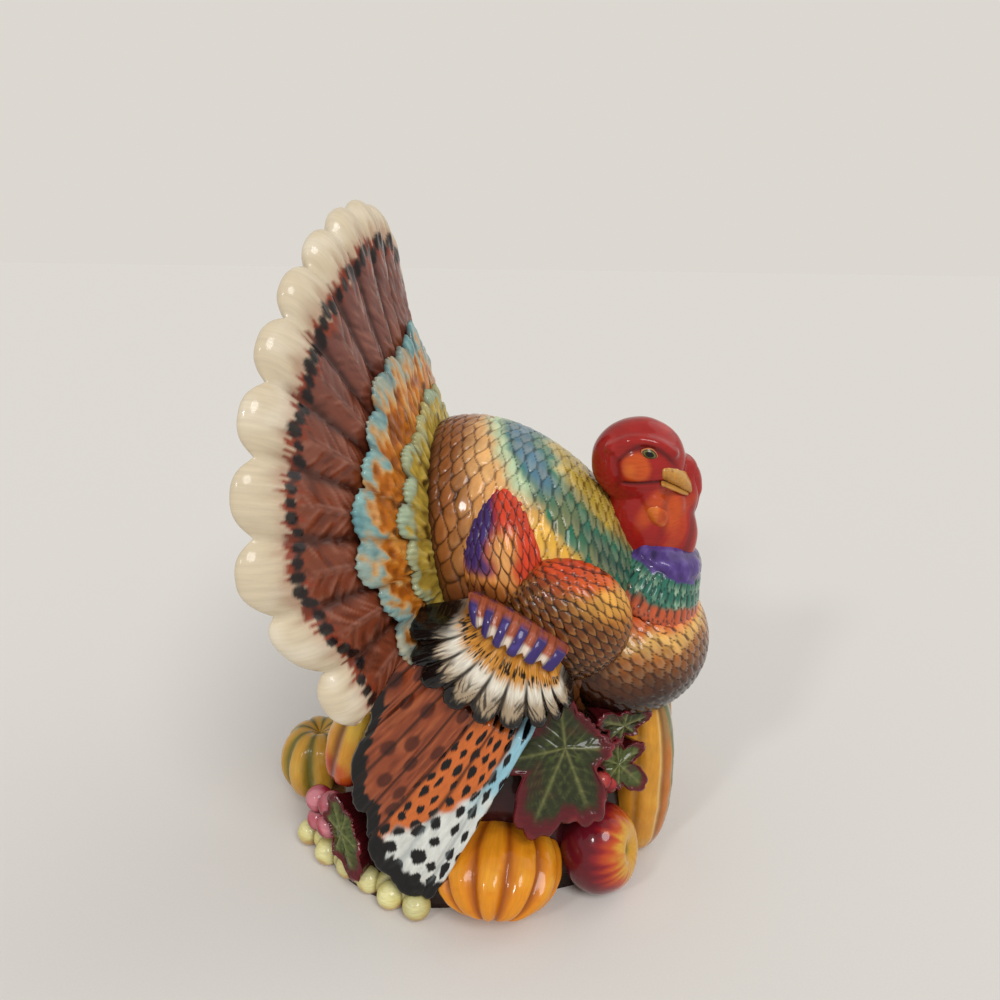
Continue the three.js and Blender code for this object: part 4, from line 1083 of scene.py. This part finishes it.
def wattle_rule(unit):
    drop = unit * WATTLE_HALF * (0.3 + 0.8 * soft(1, -0.7, unit[:, 2:])) ** np.array([1, 1, 0])
    drop[:, 0] += 0.2 * np.maximum(drop[:, 2], 0)
    places = pitched(drop, WATTLE_PITCH) + WATTLE_MIDDLE
    streak = drift(places, 4, 171)
    paint = brushed(plain("#c9581f", unit),
        "#e08a3c", soft(0.0, 0.8, streak) * 0.6,
        "#9a2a1a", soft(0.3, -0.6, unit[:, 2] * 0.6 + streak * 0.5) * 0.4,
        "#8a1c18", soft(0.55, 0.95, unit[:, 2]))
    return places, 0.3 * streak, paint, soft(-0.4, -0.9, streak) * 0.4, places


pair("eye", ball(64, 40), eye_rule, skin, "black_glaze", "eye")
pair("wattle", ball(64, 48), wattle_rule, skin, "red_glaze", "wattle")

# Ribbed fruit pressed into the mound: a pumpkin and a pepper on each side, a tall striped gourd in
# front and a squash behind. Each is a hollow casting with soft grooves, sponged with colour.
PUMPKIN = dict(middle=(-66.2, -7.9, 22), half=(32, 32, 22), ribs=11, groove=0.15, lean=48)
GOURD = dict(middle=(-14.9, -74.5, 48), half=(19, 19, 48), ribs=8, groove=0.04, dimple=0, power=0.6)
SQUASH = dict(middle=(0, 103, 25), half=(23, 23, 25), ribs=8, groove=0.13)
PEPPER = dict(middle=(-46, 66, 71), half=(15, 15, 27), ribs=5, groove=0.15, power=0.8, pitch=16)


def ribbed(colour, middle, half, ribs, groove, dimple=0.35, power=1, pitch=0, lean=0):
    """A fruit with grooves from pole to pole; lean tips its poles over, in degrees towards +X."""
    tilt = np.array(Matrix.Rotation(math.radians(lean), 3, "Y"))

    def rule(unit):
        poled = unit @ tilt
        flat = np.hypot(poled[:, 0], poled[:, 1])
        bearing = bearing_of(poled)
        furrow = np.abs(np.cos(bearing * ribs / 2)) ** 5
        wide = (1 - groove * furrow * flat) * np.maximum(flat, 1e-6) ** (power - 1)
        sunk = 1 - dimple * (1 - flat) ** 2
        places = unit * half * np.column_stack([wide, wide, sunk])
        places = pitched(places, pitch) + middle
        proud = 0.35 * drift(places, 7, 181) + 0.12 * drift(places, 2.5, 182)
        paint = colour(places, bearing, furrow, poled[:, 2])
        grain = np.column_stack([bearing * half[0], poled[:, 2] * half[2], furrow * 0])
        return places, proud, paint, furrow ** 3 * 0.5, grain
    return rule


def pumpkin_colour(places, bearing, furrow, up):
    speckle = drift(places, 2.2, 191)
    return brushed(plain("#dc8b1c", places),
        "#e6a434", soft(0, 0.8, drift(places, 9, 192)) * soft(0.5, 0, furrow) * 0.7,
        "#c46a16", furrow ** 0.8 * 0.8,
        "#a24c12", furrow ** 4 * 0.7,
        "#bf6416", soft(0.3, 0.9, speckle) * 0.25,
        "#9a5a18", soft(0.88, 1, np.abs(up)) * 0.4)


def gourd_colour(places, bearing, furrow, up):
    turned = np.degrees(bearing)
    stripe = drift(np.column_stack([turned, places[:, 2] / 6]), 8, 201)
    paint = brushed(plain("#d0902c", places),
        "#dda945", soft(0, 0.8, drift(places, 10, 202)) * 0.7)
    streaked = soft(-140, -132, turned) * soft(70, 30, turned)
    olive = np.exp(-((np.mod(turned + 128 + 3 * stripe, 44) - 22) / 9) ** 2)
    return brushed(paint,
        "#a8862c", streaked * 0.8,
        "#c0661f", soft(0.5, 0.1, olive) * streaked * 0.8,
        "#66662a", soft(0.3, 0.8, olive + 0.2 * stripe) * streaked,
        "#35451d", soft(0.25, 0.7, stripe) * olive * streaked * 0.7,
        "#77805a", soft(62, 84, places[:, 2] + 6 * stripe) * streaked * 0.5,
        "#ecd08c", np.exp(-((turned + 143) / 2.2) ** 2) * 0.6,
        "#5a3212", furrow ** 2 * 0.25)


def squash_colour(places, bearing, furrow, up):
    return brushed(plain("#cf9a38", places),
        "#d9b354", soft(0, 0.8, drift(places, 8, 211)) * 0.7,
        "#5f6b2b", furrow ** 0.8 * 0.85,
        "#b3661f", soft(-0.1, -0.8, up) * 0.6)


def pepper_colour(places, bearing, furrow, up):
    paint = plain("#d9952f", places)
    level = up + 0.25 * drift(places, 8, 221)
    return brushed(paint,
        "#e2b544", soft(0.1, 0.7, level),
        "#c8511f", soft(0.0, -0.6, level),
        "#a12c1b", soft(-0.4, -0.9, level),
        "#6a2a12", furrow ** 1.5 * 0.75)


sponged = underglaze("sponged orange and yellow underglaze", "#3a1a08", stroke=1.8, streak=5, uneven=0.13)
pair("pumpkin", ball(200, 80), ribbed(pumpkin_colour, **PUMPKIN), sponged, "pumpkin_glaze", "pumpkin")
pair("gourd", ball(160, 120), ribbed(gourd_colour, **GOURD), sponged, "gourd_glaze", "gourd")
cast("glazed_rear_squash", ball(160, 80), ribbed(squash_colour, **SQUASH), sponged,
     "gourd_glaze", "squash_rear")
pair("pepper", ball(120, 80), ribbed(pepper_colour, **PEPPER), sponged, "gourd_glaze", "pepper")

# Apple on each side of the front: a round casting with a stalk hollow, dark crimson turning orange and
# yellow towards the stalk.
APPLE_MIDDLE = np.array([-49.5, -57.1, 23.6])
APPLE_RADIUS = 20
APPLE_STRETCH = 1.18
APPLE_STALK = np.array([-0.35, -1, 0.25]) / np.linalg.norm([-0.35, -1, 0.25])


def apple_rule(unit):
    turn = np.array(Vector((0, 0, 1)).rotation_difference(Vector(APPLE_STALK)).to_matrix())
    flat = np.hypot(unit[:, 0], unit[:, 1])
    hollow = np.where(unit[:, 2] > 0, 0.34, 0.13) * np.exp(-(flat / 0.36) ** 2)
    places = (unit * (1 - hollow)[:, None] * APPLE_RADIUS) @ turn.T * [1, 1, APPLE_STRETCH] + APPLE_MIDDLE
    streak = drift(np.column_stack([np.degrees(bearing_of(unit)), unit[:, 2] * 14]), 7, 231)
    ripe = unit[:, 2] + 0.15 * streak
    paint = brushed(plain("#641420", unit),
        "#8f2024", soft(0.15, 0.5, ripe),
        "#bb4a22", soft(0.4, 0.7, ripe),
        "#cf9a35", soft(0.65, 0.9, ripe),
        "#7d7a2c", soft(0.2, 0.1, flat) * (unit[:, 2] > 0) * 0.8,
        "#2a1710", soft(0.09, 0.05, flat))
    return places, 0.2 * drift(places, 8, 232), paint, np.exp(-(flat / 0.2) ** 2) * 0.5, places


fruit = underglaze("crimson underglaze on the apple", "#22060a", stroke=1.8, streak=4, uneven=0.13, gloss=0.1)
pair("apple", ball(120, 90), apple_rule, fruit, "apple_glaze", "apple")

# Grapes and berries: balls of clay pressed together along the foot and under the leaves. The grapes by
# the foot are yellow green, those above them and the berries red.
GRAPE_RADIUS = 7
BERRY_RADIUS = 4.5
GREEN_GRAPES = [(-40, 97, 7), (-42.5, 87.5, 7), (-53, 83, 7), (-56, 72, 7), (-61, 69, 7), (-64, 61, 7),
                (-69, 56, 7), (-70.5, 46, 7), (-78, 43, 7), (-75, 33, 7), (-83, 29, 7)]
RED_GRAPES = [(-45, 89, 21), (-44.5, 89, 33), (-53, 81, 24), (-52, 79.5, 36)]
BERRIES = [(-54, -57, 67), (-51, -60, 63)]


def bunch(places, radius):
    """Balls of one radius at the given places."""
    clay = bmesh.new()
    for place in places:
        bmesh.ops.create_uvsphere(clay, u_segments=48, v_segments=32, radius=radius,
                                  matrix=Matrix.Translation(Vector(place)))
    return clay


def grape_rule(middles, colour, underside_shade, pale):
    middles = np.array(middles)

    def rule(places):
        away = np.linalg.norm(places[:, None] - middles[None], axis=2)
        nearest = np.argmin(away, axis=1)
        outward = places - middles[nearest]
        outward /= np.linalg.norm(outward, axis=1)[:, None]
        bloom = drift(places, 5, 241)
        # Painted light: the darker colour is a painted shade over the underside of each ball, the paler one a
        # painted highlight on its upper outer side.
        paint = brushed(plain(colour, places),
            underside_shade, soft(0.2, -0.6, outward[:, 2] + 0.4 * bloom),
            pale, soft(0.35, 0.9, outward[:, 2] * 0.6 - outward[:, 0] * 0.6 + 0.3 * bloom) * 0.55)
        paint *= (0.88 + 0.24 * chance(nearest, nearest + 5))[:, None]
        own, neighbour = np.sort(away, axis=1).T[:2]
        return places, 0.12 * bloom, paint, soft(1.25, 1.0, neighbour / own) * 0.8, places
    return rule


grape_skin = underglaze("clear red and green underglaze on the grapes", "#2a0c10", stroke=2, gloss=0.08)
# Each bunch gives its colour, the colour of its painted underside shade and that of its painted highlight.
pair("green_grapes", bunch(GREEN_GRAPES, GRAPE_RADIUS),
     grape_rule(GREEN_GRAPES, "#cdc27a", "#b8935a", "#e3dfae"), grape_skin,
     "green_grape_glaze", "grapes_green")
pair("red_grapes", bunch(RED_GRAPES, GRAPE_RADIUS),
     grape_rule(RED_GRAPES, "#a32a3e", "#6a1424", "#dba0a8"), grape_skin, "grape_glaze", "grapes_red")
pair("berries", bunch(BERRIES, BERRY_RADIUS),
     grape_rule(BERRIES, "#a3222a", "#6a1018", "#cf6a5c"), grape_skin, "grape_glaze", "berries")

# Leaves: rolled clay cut to lobed outlines and pressed over the fruit, with thick rolled rims. Dark green
# and brown with light veins, the rims brushed dark red.
LEAF_DEPTH = 14
LEAF_DOWN = (-0.33, 0, -0.93)
MAPLE_LEAF = dict(middle=(-62, -39, 90), along=LEAF_DOWN, face=(-0.93, -0.15, 0.33),
                  lobes=[(19, 46), (-23, 39), (74, 32), (-90, 22), (171, 25)])
SMALL_LEAF = dict(middle=(-47.6, -63, 73.4), along=LEAF_DOWN, face=(-0.85, -0.5, 0.15),
                  lobes=[(-51, 22), (-5, 13), (36, 14), (113, 16.5), (165, 13), (-125, 16)], green="#4a5526")
BREAST_LEAF = dict(middle=(-44, -64, 93.5), along=LEAF_DOWN, face=(-0.75, -0.62, -0.05),
                   lobes=[(-103, 17.5), (104, 18), (46, 11), (-60, 11), (180, 8), (0, 9)])
VINE_LEAF = dict(middle=(-66, 68, 33), along=(-0.37, -0.32, -0.87), face=(-0.85, 0.5, 0.15),
                 lobes=[(0, 25), (42, 15), (-42, 15), (180, 20), (138, 14), (-138, 14)], green="#4f5a2a")
LOBE_WIDTH = 46  # degrees from the middle of a lobe to its foot


def leaf_rule(middle, along, face, lobes, green="#2e3319"):
    """A leaf that faces one way and runs along another, each lobe a bearing and a reach."""
    normal = np.array(face) / np.linalg.norm(face)
    length = np.array(along) - normal * np.dot(along, normal)
    length /= np.linalg.norm(length)
    width = np.cross(length, normal)
    bearings, reaches = np.array(lobes, float).T
    longest = reaches.max()

    def rule(unit):
        polar = from_pole(unit) / 90
        front = polar <= 1.0001
        out = np.where(front, polar, 2 - polar)
        bearing = np.degrees(np.arctan2(unit[:, 0], unit[:, 1]))
        apart = np.mod(bearing[:, None] - bearings + 180, 360) - 180
        full = reaches * np.cos(np.radians(np.clip(apart / LOBE_WIDTH, -1, 1) * 90))
        reach = ((full ** 6).sum(axis=1) + (0.38 * longest) ** 6) ** (1 / 6)
        teeth = np.abs(np.sin(np.radians(bearing) * 13 + np.sin(np.radians(bearing) * 3)))
        reach *= 0.95 + 0.07 * teeth
        own = np.argmax(np.cos(np.radians(apart)), axis=1)
        away = np.radians(np.take_along_axis(apart, own[:, None], 1)[:, 0])
        flat_x, flat_y = (f(np.radians(bearing)) * reach * out for f in (np.sin, np.cos))
        curl = -0.003 * (flat_x ** 2 + 0.6 * flat_y ** 2)
        roll = np.exp(-((out - 0.92) / 0.08) ** 2)
        off_axis = np.abs(np.sin(away)) * reach * out
        on_axis = np.cos(away) * reach * out
        vein = np.exp(-(off_axis / 0.8) ** 2)
        side_vein = np.exp(-((np.mod(on_axis - 0.9 * off_axis, 6) - 3) / 0.6) ** 2) * soft(0.98, 0.8, out)
        dish = 1.6 * soft(0.2, 0.8, np.abs(np.sin(away * 2.2))) * out
        top = 3 + curl + 1.5 * roll - dish + 0.6 * vein + 0.35 * side_vein * soft(0, 2, off_axis)
        bottom = -LEAF_DEPTH * soft(1, 0.75, out) + 3 + curl
        height = np.where(front, top, bottom)
        places = (np.array(middle) + np.outer(flat_x, width) + np.outer(flat_y, length)
                  + np.outer(height, normal))
        mottle = drift(places, 7, 251)
        streak = drift(np.column_stack([off_axis * 2 - on_axis, on_axis + off_axis]), 2.6, 253)
        paint = brushed(plain(green, unit),
            "#51602a", soft(0, 0.8, streak) * soft(0.75, 0.3, out) * 0.6,
            "#40281a", soft(-0.2, 0.5, mottle + 1.2 * out - 0.8) * 0.85,
            "#1a2110", soft(-0.1, -0.8, streak) * 0.6,
            "#7d7f4a", (vein * 0.55 + side_vein * 0.2) * soft(0.9, 0.6, out),
            "#5a141c", soft(0.70, 0.86, out + 0.06 * mottle),
            "#84262c", soft(0.88, 0.97, out) * soft(-0.2, 0.7, drift(places, 5, 252)) * 0.7)
        hollow = soft(1.2, 2.6, off_axis) * soft(0.9, 0.8, out) * 0.4
        return places, 0.25 * mottle * front, paint, np.where(front, hollow * 0.5, 0.6), places
    return rule


foliage = underglaze("green and dark red underglaze on the leaves", "#0e0c06", stroke=1.6, uneven=0.2)
for kind, shape in [("maple_leaf", MAPLE_LEAF), ("small_leaf", SMALL_LEAF), ("breast_leaf", BREAST_LEAF),
                    ("vine_leaf", VINE_LEAF)]:
    pair(kind, ball(150, 80), leaf_rule(**shape), foliage, "leaf_glaze", kind)

# Table and backdrop: a pale matt sweep under the figure, lit by a large soft window of light and two
# smaller lamps that put the glints on the glaze, which mirrors the same pale surroundings.
backdrop = bpy.data.materials.new("pale matt paper")
backdrop.use_nodes = True
paper = backdrop.node_tree
paper.nodes.clear()
fibre = add_node(paper, "ShaderNodeTexNoise", {
    "Vector": add_node(paper, "ShaderNodeTexCoord").outputs["Object"], "Scale": 900.0, "Detail": 2.0})
tone = add_node(paper, "ShaderNodeMix", {
    "Factor": fibre.outputs["Fac"], "A": (*linear("#dedbd6"), 1),
    "B": (*linear("#e4e1dc"), 1)}, data_type="RGBA")
matt = add_node(paper, "ShaderNodeBsdfPrincipled", {
    "Base Color": tone.outputs["Result"], "Roughness": 0.9, "Specular IOR Level": 0.1})
add_node(paper, "ShaderNodeOutputMaterial", {"Surface": matt.outputs["BSDF"]})
sheet = bmesh.new()
bmesh.ops.create_grid(sheet, x_segments=40, y_segments=40, size=3)
table_mesh = bpy.data.meshes.new("table")
sheet.to_mesh(table_mesh)
sheet.free()
table_mesh.materials.append(backdrop)
table = bpy.data.objects.new("table", table_mesh)
bpy.context.scene.collection.objects.link(table)

world = bpy.data.worlds.new("studio")
bpy.context.scene.world = world
world.use_nodes = True
sky = world.node_tree
sky.nodes.clear()
rays = add_node(sky, "ShaderNodeLightPath")
around = add_node(sky, "ShaderNodeBackground", {"Color": (*linear("#f4f2ee"), 1), "Strength": 0.55})
seen = add_node(sky, "ShaderNodeBackground", {"Color": (*linear("#dcd8d1"), 1), "Strength": 1.0})
direct = rays.outputs["Is Camera Ray"]
for kind in ("Is Glossy Ray", "Is Transmission Ray"):
    either = add_node(sky, "ShaderNodeMath", {0: direct, 1: rays.outputs[kind]}, operation="MAXIMUM")
    direct = either.outputs["Value"]
shown = add_node(sky, "ShaderNodeMixShader", {
    0: direct, 1: around.outputs["Background"], 2: seen.outputs["Background"]})
add_node(sky, "ShaderNodeOutputWorld", {"Surface": shown.outputs["Shader"]})


def lamp(name, towards, spread, strength):
    """A distant lamp that shines from a direction, as wide as its spread in degrees."""
    light = bpy.data.lights.new(name, "SUN")
    light.angle = math.radians(spread)
    light.energy = strength
    made = bpy.data.objects.new(name, light)
    bpy.context.scene.collection.objects.link(made)
    made.rotation_euler = (-Vector(towards)).to_track_quat("-Z", "Y").to_euler()


lamp("window", (-0.8, -0.45, 0.95), 24, 1.35)
lamp("glint lamp", (-0.9, 0.5, 0.7), 7, 0.45)
lamp("fill", (0.5, -0.7, 0.8), 50, 0.35)

# Camera at the photograph's place: above the bird's head on its right side, looking down at it.
CAMERA_PLACE = (-0.4159, -0.0585, 0.340)  # metres
CAMERA_BEARING, CAMERA_PITCH = 82, 20  # degrees
CAMERA_LENS = 32.4
camera = bpy.data.cameras.new("camera")
camera.sensor_width = 36
camera.lens = CAMERA_LENS
viewer = bpy.data.objects.new("camera", camera)
bpy.context.scene.collection.objects.link(viewer)
viewer.location = CAMERA_PLACE
bearing, pitch = math.radians(CAMERA_BEARING), math.radians(CAMERA_PITCH)
looking = Vector((math.sin(bearing) * math.cos(pitch), math.cos(bearing) * math.cos(pitch), -math.sin(pitch)))
viewer.rotation_euler = looking.to_track_quat("-Z", "Y").to_euler()
bpy.context.scene.camera = viewer
bpy.context.scene.view_settings.view_transform = "Standard"
